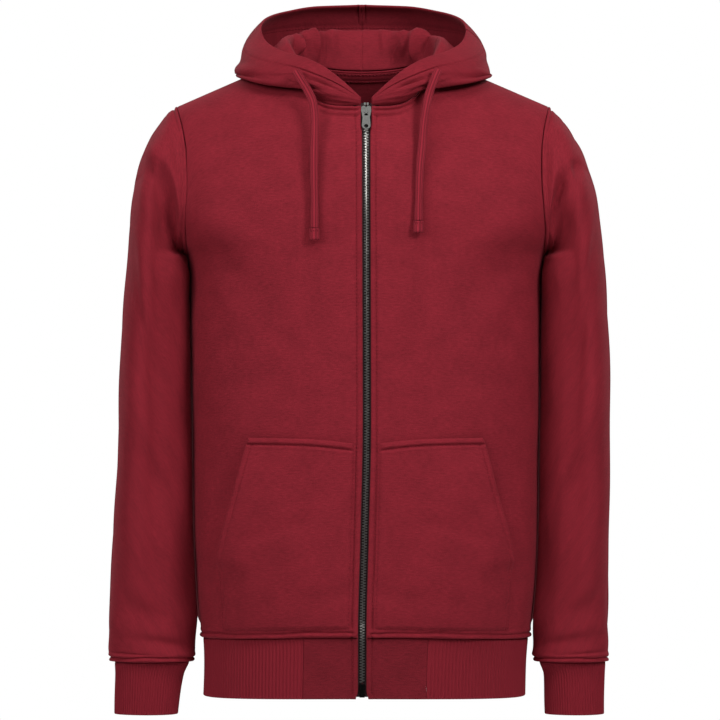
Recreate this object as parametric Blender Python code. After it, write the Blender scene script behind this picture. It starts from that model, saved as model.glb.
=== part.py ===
"""Zip-up hoodie, built piece by piece as it is cut and sewn, filled out with no wearer.

Units in the tables are millimetres; MM turns them into Blender metres. +Z is up, the
front faces -Y and +X is the viewer's right. The origin is the middle of the neck, at the
height where the shoulders carry the garment.

Every cloth piece is a closed wall: an outer surface worked out from the cut, and an inner
surface CLOTH inside it. Neighbouring pieces share their seam line and stay SEAM_GAP apart.
"""
import math

import bmesh
import bpy
import numpy as np
from mathutils import Matrix, Vector

MM = 0.001

# ---- cloth and seams ---------------------------------------------------------------
CLOTH = 2.0           # brushed sweatshirt fleece
SEAM_GAP = 0.3        # left between two sewn pieces
ROUNDNESS = 2.3       # exponent of the body's superellipse sections
SEAM_HALF = SEAM_GAP / 2

# ---- body ----------------------------------------------------------------------------
# Heights run down from the shoulders. Above UNDERARM the half width is that of the whole
# chest with its upper arms, which the armholes cut into.
BODY = np.array([
    # height, centre_x, half_width, front_depth, back_depth
    (40.0, 0.0, 240.0, 118.0, 106.0),
    (-20.0, 0.5, 240.0, 119.0, 108.0),
    (-60.0, 1.2, 240.0, 121.0, 112.0),
    (-100.0, 2.2, 240.0, 124.0, 116.0),
    (-130.0, 3.0, 235.0, 126.0, 118.0),
    (-160.0, 3.5, 228.0, 128.0, 119.0),
    (-190.0, 4.0, 212.0, 129.0, 119.0),
    (-214.0, 4.0, 195.7, 130.0, 118.0),
    (-240.0, 4.0, 193.0, 130.5, 117.0),
    (-300.0, 4.0, 191.8, 131.0, 115.0),
    (-400.0, 4.2, 190.5, 131.5, 113.0),
    (-510.0, 4.2, 189.0, 131.0, 115.0),
    (-580.0, 4.2, 185.8, 129.0, 116.5),
    (-612.0, 4.2, 182.5, 126.5, 116.0),
    (-630.0, 4.0, 179.6, 124.0, 114.5),
    (-660.0, 3.2, 178.3, 123.0, 114.0),
    (-700.0, 2.4, 178.0, 122.5, 114.0),
])
ARMHOLE = np.array([
    # height, distance of the seam from the body's centre
    (-214.0, 195.7),
    (-190.0, 196.0),
    (-160.0, 194.0),
    (-130.0, 192.5),
    (-100.0, 193.5),
    (-75.0, 197.0),
    (-48.0, 204.0),
])
UNDERARM = -214.0
SHOULDER_TIP = 204.0          # distance of the shoulder tip from the centre
NECK_POINT = 80.0             # half width of the neckline on the shoulders
NECK_RIDGE = 7.0              # height of the shoulder line at the neck point
NECK_RISE = 19.0              # how much higher the line would be at the centre
SHOULDER_SLOPE = 0.433
SHOULDER_TIP_HEIGHT = NECK_RIDGE - SHOULDER_SLOPE * (SHOULDER_TIP - NECK_POINT)
SHOULDER_ROUND = 200.0        # height over which chest and back round over the shoulder
FRONT_NECK = -51.0
FRONT_NECK_POWER = 4.5
BACK_NECK = -4.0
BACK_NECK_POWER = 2.2

# ---- zip line --------------------------------------------------------------------------
ZIP_LINE = np.array([
    # height, x
    (-40.0, 4.6),
    (-80.0, 4.4),
    (-390.0, 5.2),
    (-520.0, 2.6),
    (-615.0, 0.2),
    (-700.0, 0.0),
])
ZIP_EDGE = 6.0                # from the zip's middle to the folded edge of each front

# ---- hem -------------------------------------------------------------------------------
HEM_SEAM = -630.0             # at the side seams
HEM_SEAM_FRONT_LIFT = 6.0
HEM_END = -693.5
HEM_END_FRONT_LIFT = 3.5
HEM_TUCK = 1.2                # the rib draws in behind the seam
HEM_ROLL_ROWS = np.array([0.0, 3.5, 7.5, 13.0])  # above the hem seam
HEM_MIDDLE = -660.0           # height the ribs are parted at
HEM_PATH_STEPS = 181
CROWD_START = 0.7             # share of the height above which columns gather at the neck
BLOCK_SHARE = 0.376           # plain blocks run from the zip to this share of the half width
HEM_ROLL = 1.8                # the sewn edge rolls out above the seam
HEM_ROLL_HEIGHT = 4.0
HEM_ROLL_REACH = 3.2
RIB_WALL = 2.4
RIB_RELIEF = 0.45
HEM_RIB_PITCH = 4.0
CUFF_RIB_PITCH = 3.0

# ---- grid sizes ------------------------------------------------------------------------
NECK_FRONT_STEPS = 9
NECK_BACK_STEPS = 8
SHOULDER_STEPS = 6
BODY_STEPS = 7
ARMHOLE_STEPS = 8

# ---- sleeve ----------------------------------------------------------------------------
# One row for each ring from the armhole to the cuff seam: the outer point (seen from the
# front), the inner point beside the body, the half depth and how far back the middle is.
SLEEVE = np.array([
    # outer_left, outer_right, outer_z, inner_left, inner_right, inner_z, half_depth, middle_y
    (202.0, 206.0, -48.0, 191.7, 199.7, -214.0, 67.0, 0.0),
    (212.0, 213.0, -54.5, 198.0, 206.0, -209.5, 68.0, 0.0),
    (221.0, 222.0, -64.0, 201.5, 209.5, -212.0, 69.0, 0.0),
    (234.0, 235.0, -84.0, 199.5, 207.5, -221.0, 71.0, 0.0),
    (243.0, 245.5, -106.0, 197.5, 205.5, -231.0, 73.0, 0.0),
    (250.0, 254.0, -130.0, 195.0, 203.0, -243.0, 74.0, 0.0),
    (254.5, 261.0, -165.0, 193.0, 200.5, -262.0, 74.0, 0.0),
    (258.0, 266.0, -210.0, 191.0, 198.7, -285.0, 73.0, -1.0),
    (263.0, 270.0, -270.0, 190.2, 198.4, -325.0, 70.0, -3.0),
    (266.5, 272.5, -345.0, 189.8, 197.8, -380.0, 65.0, -6.0),
    (268.0, 272.5, -420.0, 189.0, 197.4, -440.0, 59.0, -9.0),
    (272.0, 271.5, -495.0, 187.8, 196.4, -505.0, 52.5, -12.0),
    (276.0, 270.5, -560.0, 186.0, 193.8, -563.0, 45.0, -14.0),
    (277.6, 269.8, -610.0, 184.0, 189.5, -610.0, 37.5, -15.0),
    (277.8, 269.8, -638.0, 183.4, 187.6, -638.0, 33.5, -15.0),
    (277.6, 270.6, -650.0, 183.6, 187.8, -650.0, 33.5, -15.0),
    (272.6, 267.0, -656.0, 189.2, 193.2, -656.0, 28.5, -15.0),
])
UNDERARM_EASE = 0.5           # the seam is a little wider where the armhole turns under
UNDERARM_EASE_REACH = 30.0
SLEEVE_FADE_RINGS = 5.0       # the cut of the armhole dies away over these rings
SLEEVE_RINGS = np.array([0.0, 0.6, 1.3, 2.2, 3.2, 4.4, 5.6, 7.0, 8.5, 10.0, 11.5,
                         13.0, 14.0, 15.0, 16.0])
CUFF = np.array([
    # height, outer_left, outer_right, inner_left, inner_right, half_depth
    (-656.3, 271.8, 266.4, 190.0, 194.0, 28.0),
    (-671.0, 270.8, 265.8, 196.4, 199.6, 25.5),
    (-714.0, 271.0, 266.0, 202.0, 201.6, 24.5),
])
CUFF_MIDDLE_Y = -15.0
RIB_INNER_SHARE = 4           # rib columns for each column of the plain inside

# ---- hood ------------------------------------------------------------------------------
# The hood lies open behind the neck. Each row is a section on a plane through the neck's
# axis, at an angle from the front: the cloth climbs from the neck seam to a crest, folds
# out and down into the pouch, turns at its foot and climbs the outer wall to the rim.
NECK_AXIS_Y = -15.0
HOOD_TURN = (60.0, 160.0)     # depth where the middle plane starts to lean, and its reach
BAND_STEP = 0.12
BAND_FADE_START = 0.2
HOOD = np.array([
    # angle, crest_r, crest_z, inside_r, inside_z, foot_r, foot_z,
    #        bulge_r, bulge_z, band_r, band_z, rim_r, rim_z
    (3.0, 80.9, -49.8, 81.5, -48.6, 82.0, -47.3, 82.3, -46.0, 82.4, -44.6, 82.2, -43.0),
    (20.0, 85.5, -47.5, 88.5, -44.0, 90.3, -39.5, 90.5, -34.0, 88.0, -28.0, 84.5, -20.5),
    (34.0, 88.5, -41.0, 93.0, -38.0, 97.5, -34.5, 99.0, -26.5, 94.5, -17.5, 86.5, -6.0),
    (50.0, 87.0, -20.0, 94.0, -23.0, 102.5, -31.0, 108.0, -24.0, 101.5, -8.0, 89.0, 4.0),
    (66.0, 84.0, 6.0, 94.0, -3.0, 117.0, -25.0, 125.5, -20.0, 113.5, -1.0, 96.0, 11.0),
    (84.0, 84.5, 22.0, 96.5, 13.0, 130.0, -15.5, 142.0, -13.0, 127.0, 9.0, 107.0, 23.0),
    (100.0, 85.0, 28.0, 98.5, 18.0, 132.0, -11.5, 145.5, -10.0, 134.0, 21.0, 115.5, 39.0),
    (117.0, 85.5, 32.0, 100.0, 18.0, 131.0, -20.0, 150.0, -10.0, 139.5, 34.0, 122.5, 53.5),
    (138.0, 84.5, 36.0, 101.0, 17.0, 138.0, -62.0, 161.0, -24.0, 146.0, 45.0, 129.5, 65.0),
    (158.0, 83.5, 39.0, 101.0, 16.0, 147.0, -108.0, 170.0, -38.0, 149.0, 51.0, 131.5, 73.0),
    (180.0, 83.0, 40.0, 101.0, 15.0, 151.0, -126.0, 174.0, -44.0, 150.0, 53.0, 131.5, 75.5),
])
HOOD_CENTRE_FRONT = 4.6
HOOD_CENTRE_BACK = 0.0
BAND_OUTSIDE = 1.0            # the cord's casing round the rim stands out by this
BAND_INSIDE = 0.8
BAND_FADE = 20.0              # angle from the zip over which the casing thins out
BAND_START = 5.0              # place of the casing's seam among the section's points

# ---- pockets ---------------------------------------------------------------------------
POCKET_TOP = -409.5
POCKET_TOP_SAG = -6.0         # at the end beside the zip
POCKET_INNER = 12.8           # distance of the pocket's inner edge from the centre
POCKET_CORNER = 124.5
POCKET_MOUTH_END = (159.5, -558.0)
POCKET_COLUMNS = np.concatenate([[0.0, 0.06], np.linspace(0.15, 1.0, 9)])
POCKET_FOOT_SHARE = 0.86      # of the half width, at the pocket's outer foot
MOUTH_OPEN = 0.7              # share of the width where the sewn edge starts to close
PUFF_START = 0.4
PUFF_POWER = 0.6
POCKET_FOOT = (155.5, -620.0)
POCKET_FOOT_CLEAR = 11.0      # above the hem seam, clear of its roll
POCKET_PUFF = 9.0
POCKET_LIFT = 0.9             # clear of the front, also where it is sewn down
MOUTH_CLOSE = 18.0            # the mouth's lift dies away over this height

# ---- neck tape -------------------------------------------------------------------------
TAPE_THICK = 1.0
NECK_TAPE_DROP = (1.5, 10.5)
NECK_TAPE_HALF = 70.0

# ---- zip -------------------------------------------------------------------------------
# Offsets across the zip are measured outward from the outer face of the fronts.
ZIP_TOP = -46.5
ZIP_FOOT = -674.0
CHAIN_TOP = -58.5             # the teeth part inside the slider
TEETH_HALF = 2.6
TEETH_FRONT = -1.4
TEETH_BACK = -4.0
ZIP_TAPE_FRONT = -2.8
ZIP_TAPE_BACK = -3.6
ZIP_TAPE_EDGE = 14.0
ZIP_STEPS = 30
STOP_FOOT = -49.2
STOP_INNER = 0.5              # from the zip's middle
BOX_HALF = 2.75
BOX_LENGTH = 14.5
BOX_CLEAR = 0.8               # the box lies this far behind the teeth's two faces
BEND_PLACES = np.linspace(0.6, 2.4, 7)  # close rows where the zip draws in
ZIP_TUCK = 1.9                # the zip draws in behind the hem's blocks
ZIP_TUCK_HEIGHT = 7.0

# Slider: local x across, y outward, z up along the zip, with its origin on the fronts' face.
SLIDER_Z = -57.0
SLIDER_HALF_WIDTH = 5.4
SLIDER_HALF_LENGTH = 6.6
SLIDER_PLATE = 1.5
SLIDER_FRONT = TEETH_FRONT + SEAM_GAP     # inner face of the front plate
SLIDER_BACK = TEETH_BACK - SEAM_GAP
SLIDER_OUTLINE = np.array([
    # right half, from the chain's foot up, as shares of the half width and half length
    (0.8, -1.0),
    (1.0, 0.1),
    (0.95, 0.8),
    (0.6, 1.0),
])
SLIDER_OVERLAP = 0.5          # how far the post and bail run into the plates
SLIDER_POST = (0.35, 0.7, 5.9)  # half width, foot and top of the post between the plates
BAIL_HALF_WIDTH = 0.9
BAIL_BAR = 1.0
BAIL_GAP = 1.0                # from the pull's axis out to the bail's bar
BAIL_FOOT = 2.2               # of the bail, below the pull's axis
BAIL_TOP = 4.95               # above the slider's middle
BAIL_ROUND_OUT = (1.2, 2.2)   # bevel of the bail's top corner, in and down
BAIL_ROUND_IN = (1.0, 1.4)
AXIS_CLEAR = 2.4              # from the plate's face to the pull's axis
AXIS_BELOW = 2.9              # of the slider's middle
PULL_THICK = 1.0
PULL_HALF_WIDTH = 4.7
PULL_LENGTH = 20.7
PULL_WEB = 0.5                # the cross bar above and below the axis runs inside the bail
PULL_WAIST = (0.86, -7.7)     # share of the half width, and height
PULL_SHOULDER = (0.8, 0.62, 0.8)  # half widths below and at the top, and the drop between
PULL_EYE = (2.0, -0.5, -4.1)  # half width, top and bottom of the eye round the bail
PULL_HOLE = (-16.9, 2.3)      # height and radius of the ring's hole

# ---- drawcords -------------------------------------------------------------------------
# Each tie leaves the hood below its casing and hangs down the chest. Its route is chosen by
# hand as x and z; its depth keeps it just clear of what it lies on.
CORD_WIDTH = 9.0
CORD_THICK = 3.0
CORD_POINTS = 34
TIP_WIDTH = 11.0
TIP_THICK = 4.6
TIP_LENGTH = 13.0
TIP_SIDES = 12
TIP_SQUARE = 0.6              # exponent that squares off the end's oval section
TIP_LEVELS = np.array([0.0, 0.12, 0.88, 1.0])
TIP_SWELL = np.array([0.8, 1.0, 1.0, 0.8])
CORD_LEFT = np.array([
    # x, y, z
    (-71.5, -93.0, -13.0),
    (-68.7, -96.5, -18.0),
    (-64.8, -99.2, -24.5),
    (-59.0, -101.0, -34.0),
    (-53.5, -105.5, -46.0),
    (-51.3, -110.5, -60.0),
    (-51.0, -117.0, -80.0),
    (-51.7, -122.5, -105.0),
    (-51.5, -127.0, -131.0),
    (-51.0, -130.0, -158.0),
    (-51.0, -132.0, -184.0),
])
CORD_RIGHT = np.array([
    # x, y, z
    (82.3, -91.5, -12.0),
    (80.0, -95.2, -17.5),
    (76.6, -98.4, -26.0),
    (72.5, -100.5, -38.0),
    (69.5, -105.0, -51.0),
    (66.3, -111.0, -72.0),
    (64.3, -118.0, -98.0),
    (62.2, -123.5, -121.0),
    (61.1, -128.5, -150.0),
    (60.6, -131.0, -176.0),
])

# ---- colours ---------------------------------------------------------------------------
FLEECE = (0.222, 0.022, 0.033)
TAPE = (0.045, 0.006, 0.010)
GUNMETAL = (0.22, 0.22, 0.21)


def pchip(x, xs, ys):
    """A smooth curve through table rows that never overshoots them."""
    order = np.argsort(xs)
    xs, ys = np.asarray(xs, float)[order], np.asarray(ys, float)[order]
    x = np.clip(np.asarray(x, float), xs[0], xs[-1])
    step = np.diff(xs)
    slope = np.diff(ys) / step
    tangent = np.zeros_like(ys)
    same = slope[1:] * slope[:-1] > 0
    mean = 2 * slope[1:] * slope[:-1] / np.where(same, slope[1:] + slope[:-1], 1)
    tangent[1:-1] = np.where(same, mean, 0)
    tangent[0], tangent[-1] = slope[0], slope[-1]
    i = np.clip(np.searchsorted(xs, x, side="right") - 1, 0, len(step) - 1)
    t = (x - xs[i]) / step[i]
    return (ys[i] * (1 + 2 * t) * (1 - t) ** 2 + ys[i + 1] * t * t * (3 - 2 * t)
            + step[i] * (tangent[i] * t * (1 - t) ** 2 - tangent[i + 1] * t * t * (1 - t)))


def catmull(t, points):
    """A smooth curve through points[:, k], read at t = 0 .. k (t may be an array)."""
    points = np.asarray(points, float)
    last = len(points) - 1
    t = np.clip(np.asarray(t, float), 0, last)
    i = np.minimum(t.astype(int), last - 1)
    f = (t - i).reshape(t.shape + (1,) * (points.ndim - 1))
    a, b = points[i], points[i + 1]
    before = points[np.maximum(i - 1, 0)]
    after = points[np.minimum(i + 2, last)]
    leave, arrive = (b - before) / 2, (after - a) / 2
    return (a * (1 + 2 * f) * (1 - f) ** 2 + b * f * f * (3 - 2 * f)
            + leave * f * (1 - f) ** 2 - arrive * f * f * (1 - f))


def smoothstep(t):
    t = np.clip(t, 0, 1)
    return t * t * (3 - 2 * t)


def unit(v):
    return v / np.maximum(np.linalg.norm(v, axis=-1, keepdims=True), 1e-12)


# ---- body surface --------------------------------------------------------------------
def table(rows, column, z):
    """Read one column of a table at the heights z."""
    return pchip(z, rows[:, 0], rows[:, column])


def centre(z):
    return table(BODY, 1, z)


def ridge(d):
    """Height of the shoulder line at a distance d from the centre."""
    inside = NECK_RIDGE + NECK_RISE * (1 - (d / NECK_POINT) ** 2)
    return np.where(d < NECK_POINT, inside, NECK_RIDGE - SHOULDER_SLOPE * (d - NECK_POINT))


def hem_height(share, face, level):
    """Height of the hem at a share of the half width; level 0 is the seam, 1 the lower edge."""
    middle = np.where(np.asarray(face) < 0, 1 - np.clip(share, 0, 1) ** 2, 0.0)
    seam = HEM_SEAM + HEM_SEAM_FRONT_LIFT * middle
    end = HEM_END + HEM_END_FRONT_LIFT * middle
    return seam + (end - seam) * level


def body_y(d, z, face):
    """Depth of the body's surface at a distance d and a height z; face is -1 for the front."""
    half = table(BODY, 2, z)
    depth = table(BODY, 3 if face < 0 else 4, z)
    across = np.clip(1 - (np.abs(d) / half) ** ROUNDNESS, 0, 1) ** (1 / ROUNDNESS)
    rise = np.clip((ridge(np.abs(d)) - z) / SHOULDER_ROUND, 0, 1)
    over = np.sqrt(np.clip(1 - (1 - rise) ** 2, 0, 1))
    return face * depth * across * over


def body_point(side, d, z, face):
    """Points on the body at a signed side, a distance from its centre and a height."""
    d, z = np.broadcast_arrays(np.asarray(d, float), np.asarray(z, float))
    return np.stack([centre(z) + side * d, body_y(d, z, face), z], -1)


def body_normal(side, d, z, face, step=0.01):
    """Outward unit normal of the body, away from the side seams."""
    across = body_point(side, d + step, z, face) - body_point(side, d - step, z, face)
    up = body_point(side, d, z + step, face) - body_point(side, d, z - step, face)
    normal = unit(np.cross(across, up))
    return normal * np.sign(normal[..., 1:2] * face)


def edge_distance(z):
    """Distance of a panel's outer edge: the side seam, or the armhole above it."""
    return np.where(z > UNDERARM, table(ARMHOLE, 1, z), table(BODY, 2, z))


def zip_distance(side, z):
    """Distance of a front's folded edge from the body's centre."""
    return side * (table(ZIP_LINE, 1, z) - centre(z)) + ZIP_EDGE


def neck_height(d, face):
    low, power = (FRONT_NECK, FRONT_NECK_POWER) if face < 0 else (BACK_NECK, BACK_NECK_POWER)
    return low + (NECK_RIDGE - low) * (np.abs(d) / NECK_POINT) ** power


def top_height(d, face):
    """Top edge of a panel: its neckline, then the shoulder seam."""
    return np.where(d < NECK_POINT, neck_height(np.minimum(d, NECK_POINT), face), ridge(d))


def spread(u):
    """Columns from the middle to the side seam, closer together where the body turns."""
    return np.sin(np.clip(u, 0, 1) * math.pi / 2) ** (2 / ROUNDNESS)


def spread_inverse(q):
    return 2 / math.pi * np.arcsin(q ** (ROUNDNESS / 2))


def panel_grid(side, face, t, v):
    """Outer surface of a front or of one half of the back.

    t runs from the middle to the side, v from the hem seam to the neckline and shoulder.
    The columns are even along the neckline at the top and even over the body below it.
    """
    knots, even, crowded = COLUMNS[side, face]
    high = smoothstep((v - CROWD_START) / (1 - CROWD_START))
    u = np.interp(t, knots, even) * (1 - high) + np.interp(t, knots, crowded) * high
    return panel_surface(side, face, u, v)


def panel_surface(side, face, u, v):
    """The same surface by its share of the way round the body."""
    inner_top = zip_distance(side, FRONT_NECK) if face < 0 else 0.0
    top_d = inner_top + (SHOULDER_TIP - inner_top) * spread(u)
    top = top_height(top_d, face)
    low = hem_height(top_d / SHOULDER_TIP, face, 0.0)
    z = low + (top - low) * v
    inner = zip_distance(side, z) if face < 0 else 0.0
    d = inner + (edge_distance(z) - inner) * spread(u)
    point = body_point(side, d, z, face)
    roll = HEM_ROLL * np.exp(-((z - low - HEM_ROLL_HEIGHT) / HEM_ROLL_REACH) ** 2)
    flat = unit(np.stack([side * d / 3, point[..., 1], 0 * z], -1))
    point = point + flat * roll[..., None]
    point[..., 1] += face * SEAM_HALF
    return point


def panel_columns(side, face):
    """Places of a panel's columns: evenly over the body, and evenly along its neckline."""
    inner = zip_distance(side, FRONT_NECK) if face < 0 else 0.0
    neck = spread_inverse((NECK_POINT - inner) / (SHOULDER_TIP - inner))
    steps = NECK_FRONT_STEPS if face < 0 else NECK_BACK_STEPS
    shoulder = np.linspace(neck, 1, SHOULDER_STEPS + 1)[1:]
    fine = np.linspace(0, neck, 801)
    line = panel_surface(side, face, fine, np.ones(fine.shape))
    length = np.concatenate([[0], np.cumsum(np.linalg.norm(np.diff(line, axis=0), axis=1))])
    crowded = np.interp(np.linspace(0, length[-1], steps + 1), length, fine)
    even = np.concatenate([np.linspace(0, neck, steps + 1), shoulder])
    return np.linspace(0, 1, len(even)), even, np.concatenate([crowded, shoulder])


def panel_rows():
    """Row places: the roll over the hem seam, the body, then evenly round the armhole."""
    height = SHOULDER_TIP_HEIGHT - HEM_SEAM
    under = (UNDERARM - HEM_SEAM) / height
    roll = HEM_ROLL_ROWS / height
    body = np.linspace(roll[-1], under, BODY_STEPS + 1)[1:]
    turn = np.linspace(0, math.pi, ARMHOLE_STEPS + 1)[1:]
    return np.concatenate([roll, body, under + (1 - under) * (1 - np.cos(turn)) / 2])


COLUMNS = {(side, face): panel_columns(side, face) for side in (-1, 1) for face in (-1, 1)}


# ---- walls -----------------------------------------------------------------------------
def grid_normals(surface, us, vs, step=1e-4):
    """Unit normals of surface(u, v) by small differences, one-sided at its edges."""
    u, v = np.meshgrid(us, vs, indexing="ij")
    u0, u1 = np.maximum(u - step, us[0]), np.minimum(u + step, us[-1])
    v0, v1 = np.maximum(v - step, vs[0]), np.minimum(v + step, vs[-1])
    return unit(np.cross(surface(u1, v) - surface(u0, v), surface(u, v1) - surface(u, v0)))


def grid_faces(columns, rows, start, flip, wrap=False):
    """Triangles over a grid stored row by row within each column."""
    faces = []
    for i in range(columns if wrap else columns - 1):
        for j in range(rows - 1):
            a = start + i * rows + j
            b = start + (i + 1) % columns * rows + j
            for face in ((a, b, b + 1), (a, b + 1, a + 1)):
                faces.append(face[::-1] if flip else face)
    return faces


def wall_mesh(outer, inner, wrap=False):
    """Close an outer and an inner grid of the same size into one body."""
    columns, rows = outer.shape[:2]
    count = columns * rows
    points = np.concatenate([outer.reshape(-1, 3), inner.reshape(-1, 3)])
    faces = grid_faces(columns, rows, 0, False, wrap) + grid_faces(columns, rows, count, True, wrap)
    rim = [(i * rows + j, (i + 1) % columns * rows + j)
           for j in (0, rows - 1) for i in range(columns if wrap else columns - 1)]
    if not wrap:
        rim += [(i * rows + j, i * rows + j + 1) for i in (0, columns - 1) for j in range(rows - 1)]
    faces += [(a, b, b + count, a + count) for a, b in rim]
    return points, faces


def strip(first, second, flip=False):
    """Triangles between two chains of point numbers of different lengths."""
    faces = []
    i = j = 0
    while i < len(first) - 1 or j < len(second) - 1:
        ahead = (i + 0.5) / (len(first) - 1) <= (j + 0.5) / (len(second) - 1)
        if j == len(second) - 1 or (i < len(first) - 1 and ahead):
            face = (first[i], first[i + 1], second[j])
            i += 1
        else:
            face = (first[i], second[j + 1], second[j])
            j += 1
        faces.append(face[::-1] if flip else face)
    return faces


def ribbed_mesh(outer, inner, wrap):
    """Close a finely ribbed outer grid over a plain inner one with fewer columns."""
    columns, rows = outer.shape[:2]
    inner_columns, inner_rows = inner.shape[:2]
    count = columns * rows
    points = np.concatenate([outer.reshape(-1, 3), inner.reshape(-1, 3)])
    faces = (grid_faces(columns, rows, 0, False, wrap)
             + grid_faces(inner_columns, inner_rows, count, True, wrap))
    around = [i % columns for i in range(columns + wrap)]
    inside = [i % inner_columns for i in range(inner_columns + wrap)]
    for j, k in ((0, 0), (rows - 1, inner_rows - 1)):
        faces += strip([i * rows + j for i in around],
                       [count + i * inner_rows + k for i in inside])
    if not wrap:
        for i, k in ((0, 0), (columns - 1, inner_columns - 1)):
            faces += strip([i * rows + j for j in range(rows)],
                           [count + k * inner_rows + j for j in range(inner_rows)])
    return points, faces


# ---- objects ---------------------------------------------------------------------------
def material(name, colour, roughness, metallic=0.0):
    made = bpy.data.materials.new(name)
    made.use_nodes = True
    shader = made.node_tree.nodes["Principled BSDF"]
    shader.inputs["Base Color"].default_value = (*colour, 1.0)
    shader.inputs["Roughness"].default_value = roughness
    shader.inputs["Metallic"].default_value = metallic
    return made


def add_object(name, points, faces, colour=FLEECE, roughness=0.9, metallic=0.0, smooth=True):
    """Make one named object in its own material, with its faces turned outward."""
    mesh = bpy.data.meshes.new(name)
    mesh.from_pydata((np.asarray(points) * MM).tolist(), [], [tuple(map(int, f)) for f in faces])
    work = bmesh.new()
    work.from_mesh(mesh)
    bmesh.ops.recalc_face_normals(work, faces=work.faces)
    if work.calc_volume(signed=True) < 0:
        bmesh.ops.reverse_faces(work, faces=work.faces)
    work.to_mesh(mesh)
    work.free()
    mesh.materials.append(material(name, colour, roughness, metallic))
    if smooth:
        mesh.shade_smooth()
        mesh.set_sharp_from_angle(angle=math.radians(40))
    made = bpy.data.objects.new(name, mesh)
    bpy.context.scene.collection.objects.link(made)
    return made


# ---- panels ----------------------------------------------------------------------------
def panel_half(side, face, us, vs):
    """Outer and inner grids of a front or of half the back."""
    def surface(u, v):
        return panel_grid(side, face, u, v)
    u, v = np.meshgrid(us, vs, indexing="ij")
    outer = surface(u, v)
    normal = grid_normals(surface, us, vs)
    towards = np.stack([side * (u + 0.1), face * (1.2 - u), 0 * u], -1)
    normal = normal * np.sign((normal * towards).sum(-1, keepdims=True))
    normal[-1, :, 1] = 0.0
    top = np.abs(outer[:, -1, 1]) < SEAM_HALF + 0.01
    normal[top, -1, 1] = 0.0
    if face > 0:
        normal[0, :, 0] = 0.0
    return outer, outer - unit(normal) * CLOTH, unit(normal)


def build_fronts():
    for side, name in ((-1, "front_left"), (1, "front_right")):
        outer, inner, _ = panel_half(side, -1, COLUMNS[side, -1][0], panel_rows())
        add_object(name, *wall_mesh(outer, inner))


def build_back():
    halves = [panel_half(side, 1, COLUMNS[side, 1][0], panel_rows()) for side in (-1, 1)]
    outer = np.concatenate([halves[0][0][::-1], halves[1][0][1:]])
    inner = np.concatenate([halves[0][1][::-1], halves[1][1][1:]])
    add_object("back", *wall_mesh(outer, inner))


# ---- sleeves ---------------------------------------------------------------------------
def armhole_ring(side):
    """The armhole's edge from the shoulder down the front and up the back."""
    rings = []
    for face in (-1, 1):
        vs = panel_rows()
        first = len(vs) - 1 - ARMHOLE_STEPS
        outer, inner, normal = panel_half(side, face, COLUMNS[side, face][0], vs)
        ring = [a[-1, first:] for a in (outer, inner, normal)]
        rings.append([a[::-1] if face < 0 else a for a in ring])
    outer, inner, normal = (np.concatenate([a, b]) for a, b in zip(*rings))
    along = np.roll(outer, -1, 0) - np.roll(outer, 1, 0)
    outward = unit(np.cross(along, normal))
    towards = outer.mean(0) - outer + np.array([side * 40.0, 0, 0])
    outward *= np.sign((outward * towards).sum(-1, keepdims=True))
    outward[[0, ARMHOLE_STEPS, ARMHOLE_STEPS + 1, -1], 1] = 0.0
    return outer, inner, normal, outward


def sleeve_ring(side, s, turn):
    """Plain ring of the sleeve's table at place s, turn running from top, front, bottom."""
    rows = SLEEVE[:, [0 if side < 0 else 1, 2, 3 if side < 0 else 4, 5, 6, 7]]
    out_x, out_z, in_x, in_z, depth, y = np.moveaxis(catmull(s, rows), -1, 0)
    c = np.cos(turn)
    return np.stack([side * ((out_x + in_x) / 2 + (out_x - in_x) / 2 * c),
                     y - depth * np.sin(turn),
                     (out_z + in_z) / 2 + (out_z - in_z) / 2 * c], -1)


def build_sleeve(side, name):
    edge, edge_inner, edge_normal, outward = armhole_ring(side)
    half_height = (SHOULDER_TIP_HEIGHT - UNDERARM) / 2
    turn = np.arctan2(-edge[:, 1] / SLEEVE[0, 6],
                      (edge[:, 2] - UNDERARM - half_height) / half_height)
    ease = UNDERARM_EASE * np.clip(1.5 - np.abs(edge[:, 1]) / UNDERARM_EASE_REACH, 0, 1)
    outward = outward * (SEAM_GAP + ease)[:, None]
    start = edge + outward
    cut = start - sleeve_ring(side, np.zeros(len(turn)), turn)

    def surface(s):
        fade = np.clip(1 - s / SLEEVE_FADE_RINGS, 0, 1) ** 2
        return sleeve_ring(side, np.full(len(turn), s), turn) + cut * fade

    outer, inner = [], []
    for s in SLEEVE_RINGS:
        ring = surface(s)
        around = np.roll(ring, -1, 0) - np.roll(ring, 1, 0)
        last = SLEEVE_RINGS[-1]
        down = surface(min(s + 0.05, last)) - surface(max(s - 0.05, 0.0))
        normal = unit(np.cross(around, down))
        middle = ring.mean(0)
        normal *= np.sign(((ring - middle) * normal).sum(-1, keepdims=True).mean())
        for a, b in ((0, -1), (ARMHOLE_STEPS, ARMHOLE_STEPS + 1)):
            normal[a] = normal[b] = normal[a] + normal[b]
        if s == last:
            normal[:, 2] = 0.0
        outer.append(ring)
        inner.append(ring - unit(normal) * CLOTH)
    inner[0] = edge_inner + outward
    add_object(name, *wall_mesh(np.stack(outer, 1), np.stack(inner, 1), wrap=True))


def cuff_ring(side, height, turn, offset):
    """A ring of the cuff, moved out by offset."""
    columns = (1, 3) if side < 0 else (2, 4)
    out_x, in_x = (table(CUFF, c, height) for c in columns)
    depth = table(CUFF, 5, height) + offset
    half = (out_x - in_x) / 2 + offset
    return np.stack([side * ((out_x + in_x) / 2 + half * np.cos(turn)),
                     CUFF_MIDDLE_Y - depth * np.sin(turn), 0 * turn + height], -1)


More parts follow.
